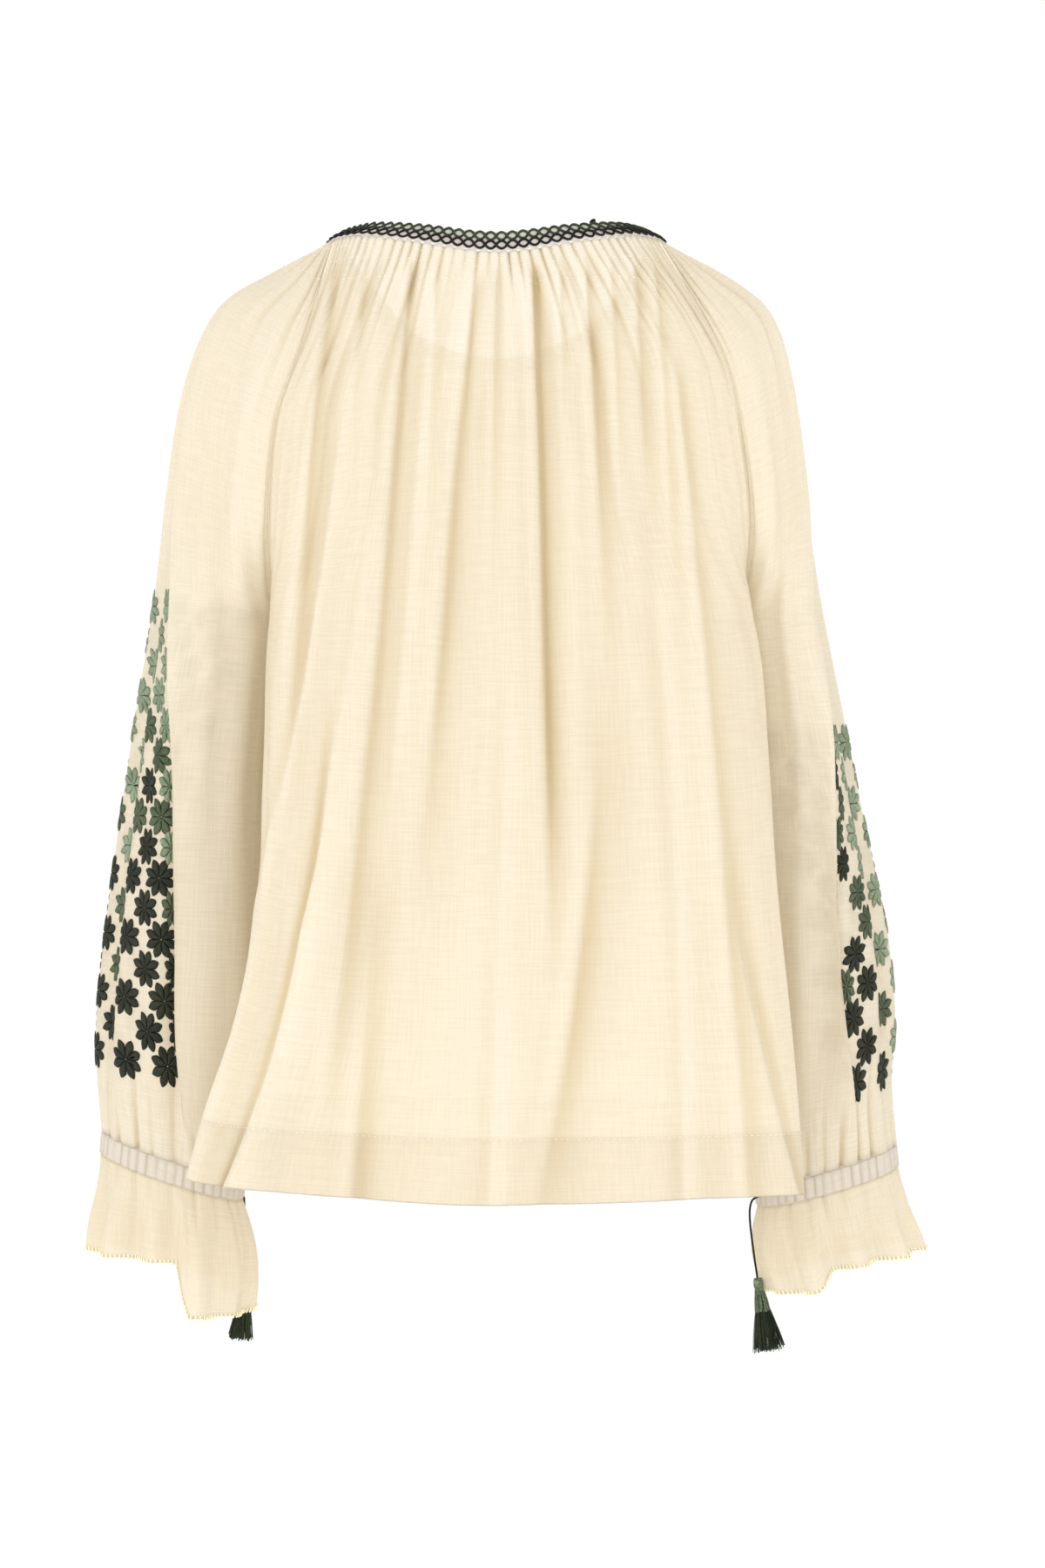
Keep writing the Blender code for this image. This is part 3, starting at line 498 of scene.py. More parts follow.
def sleeve_base(side, t, at):
    """Sleeve without its folds; t from -1 at the front seam over the outside to 1 at the back seam."""
    hand = HAND[side]
    outer = rows_of(side * track(SLEEVE, "x_" + hand, at), track(SLEEVE, "y", at),
                    track(SLEEVE, "z_" + hand, at))
    outer[:, 0] += NECK_SHIFT * np.clip(1 - at / 0.05, 0, 1)
    way = np.full_like(t, side)
    behind = (t >= 0)[:, None]
    down = at / SLEEVE_UNDERARM
    high = np.where(behind, raglan(way, "back", down), raglan(way, "front", down))
    low = rows_of(side * track(SLEEVE_INSIDE, "x_" + hand, at), track(SLEEVE_INSIDE, "y", at),
                  track(SLEEVE_INSIDE, "z_" + hand, at))
    seam = np.where((at <= SLEEVE_UNDERARM)[:, None], high, low)
    turn = math.pi * np.abs(t)
    across = (1 - np.cos(turn)) / 2
    full = np.where(t >= 0, track(SLEEVE, "bulge_back", at), -track(SLEEVE, "bulge_front", at))
    swell = rows_of(side * track(SLEEVE, "bulge_x", at) * np.sin(turn) ** 2, full * np.sin(turn),
                    track(SLEEVE, "bulge_z", at) * np.sin(turn) ** 2)
    pinch = track(SLEEVE_INSIDE, "pinch_" + hand, at) * smooth((at - 0.16) / 0.12)
    inward = across - pinch * 4 * t * t * (1 - np.abs(t))
    point = mix(outer, seam, inward[:, None]) + swell
    ring = neck(side * (90 - 20 * t))
    top = np.where(behind, raglan(way, "back", 0 * at), raglan(way, "front", 0 * at))
    start = mix(neck(side * 90)[None], top, across[:, None])
    start[:, 1] += np.sin(turn) * np.where(t >= 0, 0.004, -0.004)
    return point + (ring - start) * np.where(at < 0.05, 1 - smooth(at / 0.05), 0)[:, None]


def hanging(edge, t):
    """Fold down the back of a sleeve or ruffle: a steep rise at its edge, then a slow fall to the seam."""
    return smooth((t - edge + 0.012) / 0.034) * (1 - smooth((t - edge - 0.16) / 0.34))


def leaning(edge, t):
    """How far the fold's crest leans back over the valley beside it."""
    return smooth((t - edge + 0.004) / 0.03) * (1 - smooth((t - edge - 0.03) / 0.14))


def sleeve_relief(side, t, at):
    """What stands out of a sleeve: gathers at both ends, long folds and ripples."""
    seed = 0.3 if side > 0 else 1.7
    top = gathers_at(SLEEVE_GATHERS / 3, t, at - 0.004, seed, 0.0018, 0.12)
    wrist = gathers_at(SLEEVE_GATHERS / 2, t, SLEEVE_END - at, 2 * seed, 0.0026, 0.050)
    folds = (0.0032 * np.sin(math.pi * 5 * (t + 0.12))
             + 0.0014 * np.sin(math.pi * 11 * (t + 0.05 * np.sin(7 * at))))
    folds = folds * smooth((at - 0.03) / 0.2) * (1 - smooth((at - 0.60) / 0.08))
    ripples = 0.0009 * np.sin(31 * t + 9 * at + seed) * np.sin(11 * at + 3 * t)
    ripples = ripples * smooth((at - 0.05) / 0.1)
    ends = smooth((1 - np.abs(t)) / 0.08)
    return top * ends, wrist * ends, folds * ends, ripples * ends


def out_of_sleeve(surface, side, t, at, point, step=0.004):
    """Ways that a sleeve's surface faces at its points, all out from its middle line."""
    middle = (sleeve_base(side, 0 * t, at) + sleeve_base(side, 0 * t + 1, at)) / 2
    out = facing(lambda a, b: surface(side, a, b * SLEEVE_END), t, at / SLEEVE_END, step)
    return turned_to(out, point - middle)


def sleeve(side, t, at):
    """Sleeve with its gathers and the fold that hangs down its back."""
    point = sleeve_base(side, t, at)
    out = out_of_sleeve(sleeve_base, side, t, at, point)
    edge = track(SLEEVE_INSIDE, "edge_" + HAND[side], at) * smooth(at / SLEEVE_UNDERARM + 0.35)
    drop = track(SLEEVE_INSIDE, "drop", at) * smooth((at - 0.12) / 0.2)
    point[:, 1] += drop * hanging(edge, t)
    point[:, 0] += side * 0.50 * drop * leaning(edge, t)
    return point + out * sum(sleeve_relief(side, t, at))[:, None]


def on_sleeve(side, t, at):
    """Points on a sleeve, and the ways it faces there."""
    point = sleeve(side, t, at)
    return point, out_of_sleeve(sleeve, side, t, at, point, 0.003)


def sleeve_tone(side, t, at):
    """Painted shade for a sleeve, the same measure as on the body."""
    top, wrist, folds, _ = sleeve_relief(side, t, at)
    return np.clip(0.05 - 230 * top - 150 * wrist - 14 * folds, 0, 1)


def wrist_ring(side, t, part):
    """Ring at the wrist; part 0 is the sleeve's end, 1 the casing's lower edge."""
    down = np.array([side * 0.10, 0, -1.0])
    drop = (SEAM_GAP + CASING_HEIGHT) * np.asarray(part)
    return sleeve_base(side, t, np.full_like(t, SLEEVE_END)) + down / np.linalg.norm(down) * drop[..., None]


def ruffle(side, t, w):
    """Wrist ruffle; w from the casing to its free edge."""
    size = RUFFLE[HAND[side]]
    top = wrist_ring(side, t, np.ones_like(t)) - np.array([0, 0, SEAM_GAP])
    turn = math.pi * np.abs(t)
    out, inner = np.array(size["out"]), np.array(size["in"])
    out[0] *= side
    inner[0] *= side
    across = (1 - np.cos(turn)) / 2
    low = mix(out, inner, across[:, None])
    low[:, 1] += np.sin(turn) * np.where(t >= 0, 0.060, -0.058)
    past = smooth((t - size["edge"] + 0.02) / 0.06)
    step = mix(out[2], inner[2], size["step"] * past + (1 - size["step"]) * across)
    low[:, 2] = np.where(t >= 0, step, low[:, 2])
    point = mix(top, low, w[:, None])
    way = low - (out + inner) / 2
    way[:, 2] = 0
    way = unit(way)
    fine = gathers_at(SLEEVE_GATHERS / 2, t, w, 0.6 if side > 0 else 2.6, 0.0018, 0.75)
    wave = 0.0052 * np.cos(math.pi * SLEEVE_GATHERS / 4 * (t + 1)) * smooth(w / 0.9)
    wave += 0.0030 * np.sin(math.pi * 5 * (t + 0.3)) * smooth(w)
    wave += 0.0010 * np.sin(37 * t + 5 * w + side) * smooth(w)
    ends = smooth((1 - np.abs(t)) / 0.08)
    point += way * ((fine + wave) * ends)[:, None]
    point[:, 1] += 0.012 * smooth(w) * hanging(size["edge"], t)
    point[:, 0] -= side * 0.006 * across ** 4 * np.sin(math.pi * w)
    return point


def linear(code):
    """sRGB hex colour as linear RGBA."""
    parts = [int(code[i:i + 2], 16) / 255 for i in (1, 3, 5)]
    return [p / 12.92 if p <= 0.04045 else ((p + 0.055) / 1.055) ** 2.4 for p in parts] + [1.0]


def node(tree, kind, feeds=None, **settings):
    """One node, with its settings and what feeds each of its sockets."""
    new = tree.nodes.new("ShaderNode" + kind)
    for key, value in settings.items():
        setattr(new, key, value)
    for slot, value in (feeds or {}).items():
        if isinstance(value, bpy.types.NodeSocket):
            tree.links.new(value, new.inputs[slot])
        else:
            new.inputs[slot].default_value = value
    return new


def bare(name):
    """Empty material and its node tree."""
    skin = bpy.data.materials.new(name)
    skin.use_nodes = True
    skin.node_tree.nodes.clear()
    return skin, skin.node_tree


def linen(name, light, shade, deep, open_part, through):
    """Hand-spun linen in plain weave: sheer and matt, with slubs both ways and light coming through.

    Its folds are painted darker towards the deep colour, as painted shade, and are less open, because two or
    three layers lie together there.
    """
    skin, tree = bare(name)
    place = node(tree, "UVMap", uv_map="cloth").outputs[0]
    fold = node(tree, "Attribute", attribute_name="fold").outputs["Fac"]
    threads = []
    # Threads lie 0.7 mm apart, too fine to show, so they are drawn 1.3 mm apart with slubs about 4 mm wide
    for scale, slub in (((760, 40, 1), (230, 9, 1)), ((40, 760, 1), (9, 230, 1))):
        fine = node(tree, "VectorMath", {0: place, 1: scale}, operation="MULTIPLY")
        thick = node(tree, "VectorMath", {0: place, 1: slub}, operation="MULTIPLY")
        fine = node(tree, "TexNoise", {"Vector": fine.outputs[0], "Scale": 1.0, "Detail": 1.0},
                    noise_dimensions="2D")
        thick = node(tree, "TexNoise", {"Vector": thick.outputs[0], "Scale": 1.0, "Detail": 2.0},
                     noise_dimensions="2D")
        threads.append(node(tree, "Mix", {0: 0.22, 2: fine.outputs[0], 3: thick.outputs[0]}).outputs[0])
    weave = node(tree, "Math", {0: threads[0], 1: threads[1]}, operation="ADD").outputs[0]
    cloud = node(tree, "TexNoise", {"Vector": place, "Scale": 11.0, "Detail": 2.0}, noise_dimensions="2D")
    tone = node(tree, "MapRange", {0: weave, 1: 0.60, 2: 1.40, 3: 0.25, 4: 0.62}).outputs[0]
    tone = node(tree, "Math", {0: cloud.outputs[0], 1: 0.30, 2: tone}, operation="MULTIPLY_ADD").outputs[0]
    colour = node(tree, "Mix", {0: tone, 6: linear(shade), 7: linear(light)}, data_type="RGBA").outputs[2]
    # Painted shade: the colour turns towards the deep colour as the fold attribute rises.
    colour = node(tree, "Mix", {0: fold, 6: colour, 7: linear(deep)}, data_type="RGBA").outputs[2]
    height = node(tree, "Bump", {"Height": weave, "Strength": 0.25, "Distance": 0.0004}).outputs[0]
    front = node(tree, "BsdfPrincipled", {"Base Color": colour, "Roughness": 0.88, "Specular IOR Level": 0.2,
                                          "Sheen Weight": 0.15, "Sheen Roughness": 0.5, "Normal": height})
    behind = node(tree, "BsdfTranslucent", {"Color": colour, "Normal": height})
    both = node(tree, "MixShader", {0: through, 1: front.outputs[0], 2: behind.outputs[0]})
    holes = node(tree, "MapRange", {0: weave, 1: 0.80, 2: 1.20, 3: open_part * 1.08, 4: open_part * 0.92})
    packed = node(tree, "MapRange", {0: fold, 1: 0.0, 2: 1.0, 3: 1.0, 4: 0.35})
    holes = node(tree, "Math", {0: holes.outputs[0], 1: packed.outputs[0]}, operation="MULTIPLY").outputs[0]
    clear = node(tree, "BsdfTransparent", {"Color": (1, 1, 1, 1)})
    cloth_shader = node(tree, "MixShader", {0: holes, 1: both.outputs[0], 2: clear.outputs[0]})
    node(tree, "OutputMaterial", {0: cloth_shader.outputs[0]})
    return skin


def thread(name, dark, light, roughness=0.6, twist=900):
    """Cotton embroidery thread: mercerised, so it has a soft gloss along its twist."""
    skin, tree = bare(name)
    place = node(tree, "TexCoord").outputs["Object"]
    strand = node(tree, "TexNoise", {"Vector": place, "Scale": twist, "Detail": 1.0})
    patch = node(tree, "TexNoise", {"Vector": place, "Scale": 60.0, "Detail": 1.0})
    tone = node(tree, "Mix", {0: 0.4, 2: strand.outputs[0], 3: patch.outputs[0]}).outputs[0]
    tone = node(tree, "MapRange", {0: tone, 1: 0.35, 2: 0.65, 3: 0.0, 4: 1.0}).outputs[0]
    colour = node(tree, "Mix", {0: tone, 6: linear(dark), 7: linear(light)}, data_type="RGBA").outputs[2]
    height = node(tree, "Bump", {"Height": strand.outputs[0], "Strength": 0.4, "Distance": 0.0003}).outputs[0]
    front = node(tree, "BsdfPrincipled", {"Base Color": colour, "Roughness": roughness,
                                          "Specular IOR Level": 0.25, "Normal": height})
    node(tree, "OutputMaterial", {0: front.outputs[0]})
    return skin


# The third colour of each linen is the painted shade that its fold attribute mixes in.
SHEER = linen("sheer_linen", "#F7F1E4", "#F0E8D5", "#DCCBA4", 0.34, 0.42)
DOUBLED = linen("doubled_linen", "#EFE9E0", "#E4DCD0", "#CBC1B4", 0.26, 0.38)
BAND = linen("neckband_linen", "#EEEAE4", "#E2DCD2", "#CFC8BA", 0.04, 0.20)
CREAM_THREAD = thread("cream_thread", "#EFE4BE", "#FBF5DC", 0.8)
WHITE_THREAD = thread("stitching_thread", "#EFE6D2", "#FBF5E6", 0.85)
BLACK_THREAD = thread("black_thread", "#0D0909", "#221A1A", 0.75)
GREEN_THREAD = thread("green_thread", "#222E1B", "#3A482D", 0.75)
STAR_DARK = thread("dark_green_satin_stitch", "#181B12", "#2F3425", 0.7)
STAR_MID = thread("mid_green_satin_stitch", "#353F2E", "#5A654B", 0.7)
STAR_LIGHT = thread("sage_satin_stitch", "#647359", "#94A187", 0.7)
TASSEL_GREEN = thread("tassel_thread", "#15190F", "#39442E", 0.65)
TASSEL_SAGE = thread("tassel_knot_thread", "#404E38", "#849577", 0.65)


def piece_of(name, data, skins, nodes=()):
    """Finished piece on the blouse, in place of the nodes it stands for."""
    piece = bpy.data.objects.new(name, data)
    bpy.context.scene.collection.objects.link(piece)
    for skin in skins:
        data.materials.append(skin)
    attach(piece, "root")
    if nodes:
        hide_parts(*nodes)
    return piece


def laid_grid(name, surface, columns, rows, flip, cut, tone=None):
    """Mesh of a grid laid over a surface, with its threads as a UV map in metres of flat cloth."""
    bm = bmesh.new()
    bm.loops.layers.uv.new("cloth")
    bmesh.ops.create_grid(bm, x_segments=columns, y_segments=len(rows) - 1, size=0.5, calc_uvs=True)
    if flip:
        bmesh.ops.reverse_faces(bm, faces=bm.faces[:])
    for face in bm.faces:
        face.smooth = True
    mesh = bpy.data.meshes.new(name)
    bm.to_mesh(mesh)
    bm.free()
    flat = np.empty(len(mesh.vertices) * 3)
    mesh.vertices.foreach_get("co", flat)
    flat = flat.reshape(-1, 3)
    down = np.interp(flat[:, 1] + 0.5, np.linspace(0, 1, len(rows)), rows)
    mesh.vertices.foreach_set("co", surface(flat[:, 0] * 2, down).ravel())
    # Fold attribute: painted shade for the linen, from the tone given, or an even 0.2 where none is given.
    fold = mesh.attributes.new("fold", "FLOAT", "POINT")
    fold.data.foreach_set("value", tone(flat[:, 0] * 2, down) if tone else np.full(len(flat), 0.2))
    place = mesh.uv_layers["cloth"].uv
    spot = np.empty(len(place) * 2)
    place.foreach_get("vector", spot)
    place.foreach_set("vector", (spot.reshape(-1, 2) * np.array(cut)).ravel())
    mesh.update()
    return mesh


def cloth(name, surface, columns, rows, flip, skin, node_name, cut, tone=None):
    """Cloth piece: its side edges stop a little short, for the seams, and it is walled inwards."""
    def trimmed(u, v):
        point = surface(u, v)
        edge = np.abs(u) > 1 - 1e-6
        inner = surface(u * (1 - 2 / columns), v)
        point += unit(inner - point) * np.where(edge, SEAM_INSET, 0)[:, None]
        return point
    mesh = laid_grid(name, trimmed, columns, rows, flip, cut, tone)
    piece = piece_of(name, mesh, [skin], [node_name])
    wall = piece.modifiers.new("wall", "SOLIDIFY")
    wall.thickness = LINEN_THICK
    wall.offset = -1
    return piece


def closed_ring(name, surface, columns, rows, skin, nodes, cut, tone=None):
    """Strip sewn into a ring, its section closed too: u goes round the ring, the rows round the section."""
    mesh = laid_grid(name, surface, columns, rows, False, cut, tone)
    bm = bmesh.new()
    bm.from_mesh(mesh)
    bmesh.ops.remove_doubles(bm, verts=bm.verts[:], dist=1e-6)
    bmesh.ops.recalc_face_normals(bm, faces=bm.faces[:])
    bm.to_mesh(mesh)
    bm.free()
    return piece_of(name, mesh, [skin], nodes)


def hemmed(face):
    """Panel with its hem turned up inside: past 1 the cloth folds back behind itself."""
    def surface(u, v):
        point, out = on_body(face, u, np.where(v > 1, 2 - v, v), 0.006, 0.995)
        return point - out * (HEM_GAP * smooth((v - 0.998) / 0.008))[:, None]
    return surface


def tube(name, lines, radius, skin, resolution=1, nodes=()):
    """Threads along rows of points, all as one piece."""
    curve = bpy.data.curves.new(name, "CURVE")
    curve.dimensions = "3D"
    curve.bevel_depth = radius
    curve.bevel_resolution = resolution
    curve.use_fill_caps = True
    for points in lines:
        line = curve.splines.new("POLY")
        line.points.add(len(points) - 1)
        line.points.foreach_set("co", np.c_[points, np.ones(len(points))].ravel())
        line.use_smooth = True
    return piece_of(name, curve, [skin], nodes)


def rows_between(*stops):
    """Rows at uneven spacing: pairs of place and count."""
    rows = [stops[0][0]]
    for (low, _), (high, count) in zip(stops, stops[1:]):
        rows += list(np.linspace(low, high, count + 1)[1:])
    return np.array(rows)


def level(face):
    """Painted shade for a panel, following the hem's fold back up inside."""
    return lambda u, v: body_tone(face, u, np.where(v > 1, 2 - v, v))


def casing_face(side, t, part, proud=CASING_PROUD):
    """Points on a casing's outer face, and the ways they face."""
    part = np.broadcast_to(part, np.shape(t)).astype(float)
    middle = (wrist_ring(side, 0 * t, part) + wrist_ring(side, 0 * t + 1, part)) / 2
    point = wrist_ring(side, t, part)
    out = point - middle
    out[:, 2] = 0
    out = unit(out)
    return point + out * np.reshape(proud, (-1, 1)), out


# Wrist ties and their tassels
GOLDEN_TURN = 2.39996
TASSEL_THREAD = 0.00034
BINDING_THREAD = 0.00055
BINDING_TURNS = 9


def strand(start, way, length, droop, rng):
    """One cut thread: five points that fall away from where it is bound."""
    steps = np.linspace(0, 1, 5)[:, None]
    sway = rng.normal(0, 0.0006, 3) * np.sin(steps * 3)
    return start + way * length * steps + np.array([0, 0, -1.0]) * droop * steps ** 2 + sway * steps


def tassel(hand):
    """Bound head, a short upper skirt of lighter thread and a long dark skirt that flares."""
    size = TASSEL[hand]
    rng = np.random.default_rng(11 if hand == "right" else 23)
    top, tip = np.array(size["top"]), np.array(size["tip"])
    length = np.linalg.norm(tip - top)
    axis = (tip - top) / length
    across = unit(np.cross(axis, [0, 1.0, 0]))
    deep = np.cross(axis, across)
    skirts = {"dark": [], "light": []}
    for layer, count, wide, near, far in (("dark", 150, 1.0, 0.20, 1.0), ("light", 56, 0.62, 0.14, 0.46)):
        for k in range(count):
            turn = k * GOLDEN_TURN
            ring = math.sqrt((k + 0.5) / count) if layer == "dark" else 1.0
            flat = across * math.cos(turn) + deep * math.sin(turn)
            bound = 0.0021 if layer == "dark" else 0.0030
            start = top + axis * length * near + flat * ring * bound
            reach = length * (far - near) * (1 + rng.uniform(-0.06, 0.04))
            spread = bound + size["spread"] * wide * (far - near)
            end = top + axis * (length * near + reach) + flat * ring * spread
            way = unit(end - start)
            skirts[layer].append(strand(start, way, np.linalg.norm(end - start), 0.0008, rng))
    turns = np.linspace(0, 1, 200)
    spiral = turns * 2 * math.pi * BINDING_TURNS
    swell = 0.0024 + 0.0010 * np.sin(math.pi * turns ** 0.8)
    binding = (top + axis * (length * 0.19 * turns)[:, None]
               + across * (np.cos(spiral) * swell)[:, None] + deep * (np.sin(spiral) * swell)[:, None])
    return skirts, binding


def tie(hand, side):
    """Cord's route out of its hole in the casing."""
    hole, out = casing_face(side, np.array([TIE_EXIT[hand]]), 0.5)
    start = (hole + out * SEAM_GAP)[0]
    rows = [{"at": 0.0, "x": start[0], "y": start[1], "z": start[2]}] + TIE[hand]
    k = np.linspace(0, 1, 29)
    return np.stack([track(rows, "x", k), track(rows, "y", k), track(rows, "z", k)], -1)


for hand, side in SIDES.items():
    skirts, binding = tassel(hand)
    dark = tube("tassel_skirt_" + hand, skirts["dark"], TASSEL_THREAD, TASSEL_GREEN, 0,
                ["tassel_" + hand])
    light = tube("tassel_upper_skirt_" + hand, skirts["light"], TASSEL_THREAD, TASSEL_SAGE, 0)
    head = tube("tassel_head_" + hand, [binding], BINDING_THREAD, TASSEL_SAGE, 0)
    route = tie(hand, side)
    cord = tube("tie_" + hand, [route], TIE_WIDTH / 2, BLACK_THREAD, 2, ["tie_cord_" + hand])

# Body panels, hems turned up inside
HEM_ROWS = (0.996, 6), (1.004, 4), (2 - HEM_TOP, 6)
PANELS = {
    "back": (400, rows_between((0, 0), (0.10, 20), (0.40, 26), (HEM_TOP, 34), *HEM_ROWS), False),
    "front": (300, rows_between((0, 0), (0.10, 18), (0.40, 24), (HEM_TOP, 30), *HEM_ROWS), True),
}
for face, (columns, rows, flip) in PANELS.items():
    panel = cloth(face + "_cloth", hemmed(face), columns, rows, flip, SHEER, face + "_panel",
                  CUT[face], level(face))

# Sleeves and wrist ruffles
sleeve_rows = rows_between((0, 0), (0.06, 12), (SLEEVE_UNDERARM, 36), (0.60, 36), (SLEEVE_END, 16))
for hand, side in SIDES.items():
    main = cloth("sleeve_cloth_" + hand, lambda t, at: sleeve(side, t, at), 360, sleeve_rows, side > 0, SHEER,
                 "sleeve_" + hand, CUT["sleeve"], lambda t, at: sleeve_tone(side, t, at))
    frill = cloth("ruffle_cloth_" + hand, lambda t, w: ruffle(side, t, w), 300, np.linspace(0, 1, 25),
                  side > 0, SHEER, "cuff_ruffle_" + hand, CUT["ruffle"])


def rounded(rows, thick, tall, corner=0.0006):
    """Section of a folded strip: how far out and how high, all the way round from 0 to 1."""
    turn = 2 * math.pi * rows
    high = np.clip((0.5 - 0.62 * np.cos(turn)), 0, 1)
    low_edge = np.minimum(high, 1 - high) * tall / corner
    side = np.where(np.sin(turn) >= 0, 1.0, -1.0)
    return side * thick / 2 * np.sqrt(np.clip(low_edge, 0, 1)), high


def band_face(turn, height, proud):
    """Points off the neckband's lower edge, and the ways they face."""
    foot, up = neck(turn), neck_up(turn)
    out = unit(np.cross(up, neck(turn + 1) - neck(turn - 1)))
    out = turned_to(out, foot * [1, 1, 0] + [0, 0, 0.02])
    return foot + up * np.reshape(height, (-1, 1)) + out * np.reshape(proud, (-1, 1)), out


# Neckband, a folded strip sewn over the gathers
BAND_OUTER = 0.0008
BAND_THICK = 0.0020
BAND_LIFT = 0.0006


def band_surface(u, v):
    off, high = rounded(v, BAND_THICK, BAND_HEIGHT - BAND_LIFT)
    height = BAND_LIFT + (BAND_HEIGHT - BAND_LIFT) * high
    return band_face(180 * u, height, BAND_OUTER - BAND_THICK / 2 + off)[0]


band = closed_ring("neckband_cloth", band_surface, 240, np.linspace(0, 1, 33), BAND, ["neckband"],
                   CUT["neckband"])

# Interlaced stitching on the band: each row is two threads that cross over and under in turn
LOOP = 0.0076
LOOP_HEIGHT = 0.0029
STITCH = 0.0009
turns = np.linspace(-180, 180, 2881)
run = run_along(band_face(turns, BAND_HEIGHT / 2, 0)[0])
loops = 2 * round(run[-1] / LOOP / 2)
steps = np.linspace(0, 1, loops * 10 + 1)
turn_at = np.interp(steps * run[-1], run, turns)
wave = steps * loops * math.pi
for row, height, skin in (("lower", 0.0043, BLACK_THREAD), ("upper", 0.0108, GREEN_THREAD)):
    lines = []
    for way in (1, -1):
        rise = np.sin(wave) * way
        rise = np.sign(rise) * np.abs(rise) ** 0.85
        lift = BAND_OUTER + STITCH * 0.8 + 0.0006 * way * np.cos(wave)
        lines.append(band_face(turn_at, height + LOOP_HEIGHT * rise, lift)[0])
    tube("band_stitching_" + row, lines, STITCH, skin, 1)

# Small knot where the band's stitching ends
KNOT_TURN = -37.0
KNOT_WRAPS = 3
coil = np.linspace(0, 2 * math.pi * KNOT_WRAPS, 60)
centre, out = band_face(np.full_like(coil, KNOT_TURN), BAND_HEIGHT + 0.0006, 0.0012)
across = unit(np.cross(out, [0, 0, 1.0]))
wide = 0.0014 + 0.0004 * np.sin(coil / 3)
rise = np.array([0, 0, 1.0]) * (0.0009 * np.sin(coil * 0.5))[:, None]
knot = centre + across * (np.cos(coil) * wide)[:, None] + out * (np.sin(coil) * wide)[:, None] + rise
tube("band_knot", [knot], 0.0006, BLACK_THREAD, 1)


# Wrist casings, double strips that carry the ties
CASING_THICK = 0.0022


def puckers(u, depth):
    """Small gathers all round a casing, where its tie draws it in."""
    return gathers_at(SLEEVE_GATHERS, u, 0 * u, 3.1, depth, 1.0)


def casing_surface(side):
    """Casing with its puckers on the outer face."""
    def surface(u, v):
        off, high = rounded(v, CASING_THICK, CASING_HEIGHT)
        part = (SEAM_GAP + CASING_HEIGHT * (1 - high)) / (SEAM_GAP + CASING_HEIGHT)
        proud = CASING_PROUD - CASING_THICK / 2 + off + puckers(u, 0.0009) * (off > 0)
        return casing_face(side, u, part, proud)[0]
    return surface


# Painted shade on each casing, darker in the valleys of its puckers.
for hand, side in SIDES.items():
    casing = closed_ring("casing_cloth_" + hand, casing_surface(side), 288, np.linspace(0, 1, 25), DOUBLED,
                         ["cuff_casing_" + hand], CUT["casing"],
                         lambda u, v: np.clip(0.15 - puckers(u, 0.7), 0, 1))


def dashes(path, pitch, share, lift, skip=0.0):
    """Running stitch: short lengths along a row of points, each dipping into the cloth at its ends."""
    points, ways = path
    run = run_along(points)
    lines = []
    for start in np.arange(skip, run[-1] - pitch * share, pitch):
        at = start + np.array([0, 0.25, 0.5, 0.75, 1]) * pitch * share
        rise = np.array([-0.3, 0.8, 1, 0.8, -0.3]) * lift
        lines.append(picked(at, run, points) + unit(picked(at, run, ways)) * rise[:, None])
    return lines


# Three rows of shirring under the neckband, each row's stitches about a third of a pitch on from the last
SHIRRING_ROWS = (0.012, 0.027, 0.052)
SHIRRING = {"pitch": 0.0052, "share": 0.40, "lift": 0.0004}
SHIRRING_SHIFT = 0.0017
FINE_THREAD = 0.00022
lines = []
for row, v in enumerate(SHIRRING_ROWS):
    u = np.linspace(-0.985, 0.985, 1600)
    for face in ("back", "front"):
        lines += dashes(on_body(face, u, np.full_like(u, v)), skip=SHIRRING_SHIFT * row, **SHIRRING)
    t = np.linspace(-0.95, 0.95, 700)
    for side in (1, -1):
        lines += dashes(on_sleeve(side, t, np.full_like(t, 0.7 * v)), skip=SHIRRING_SHIFT * row, **SHIRRING)
tube("shirring", lines, FINE_THREAD, WHITE_THREAD, 0)

# Seams: raglan, side and underarm, each a thin raised line
lines = []
for side in (1, -1):
    s = np.linspace(0.01, 1, 300)
    for face in ("back", "front"):
        lines.append(raglan(np.full_like(s, side), face, s)[::4])
    v = np.linspace(UNDERARM, 1, 200)
    lines.append(on_body("back", np.full_like(v, side * 1.0), v)[0][::4])
    at = np.linspace(SLEEVE_UNDERARM, SLEEVE_END, 200)
    lines.append(on_sleeve(side, np.full_like(at, 1.0), at)[0][::4])
tube("seams", lines, 0.00055, WHITE_THREAD, 1)

# Hem stitching
lines = []
for face in ("back", "front"):
    u = np.linspace(-0.99, 0.99, 1200)
    lines += dashes(on_body(face, u, np.full_like(u, HEM_TOP + 0.002)), pitch=0.0042, share=0.40, lift=0.0003)
tube("hem_stitching", lines, FINE_THREAD, WHITE_THREAD, 0)

# Picot edge of the ruffles: one small loop of thread after another, each wrapped over the rolled edge
PICOT = 0.0031
for hand, side in SIDES.items():
    t = np.linspace(-1, 1, 3001)
    edge = ruffle(side, t, np.ones_like(t))
    above = ruffle(side, t, np.full_like(t, 0.95))
    down = unit(edge - above)
    run = run_along(edge)
    along = unit(np.gradient(edge, axis=0))
    out = unit(np.cross(along, down))
    count = round(run[-1] / PICOT)
    at = (np.arange(count) + 0.5) / count * run[-1]
    spots, downs, outs, alongs = (picked(at, run, rows) for rows in (edge, down, out, along))
    turn = np.linspace(-2.3, 2.3, 7)
    lines = []
    for k in range(count):
        reach = downs[k] * (np.cos(turn) * 0.0021 - 0.0008)[:, None]
        lines.append(spots[k] + reach + outs[k] * (np.sin(turn) * 0.0010)[:, None]
                     + alongs[k] * (turn * 0.00030)[:, None])
    tube("picot_edge_" + hand, lines, 0.00048, CREAM_THREAD, 1)

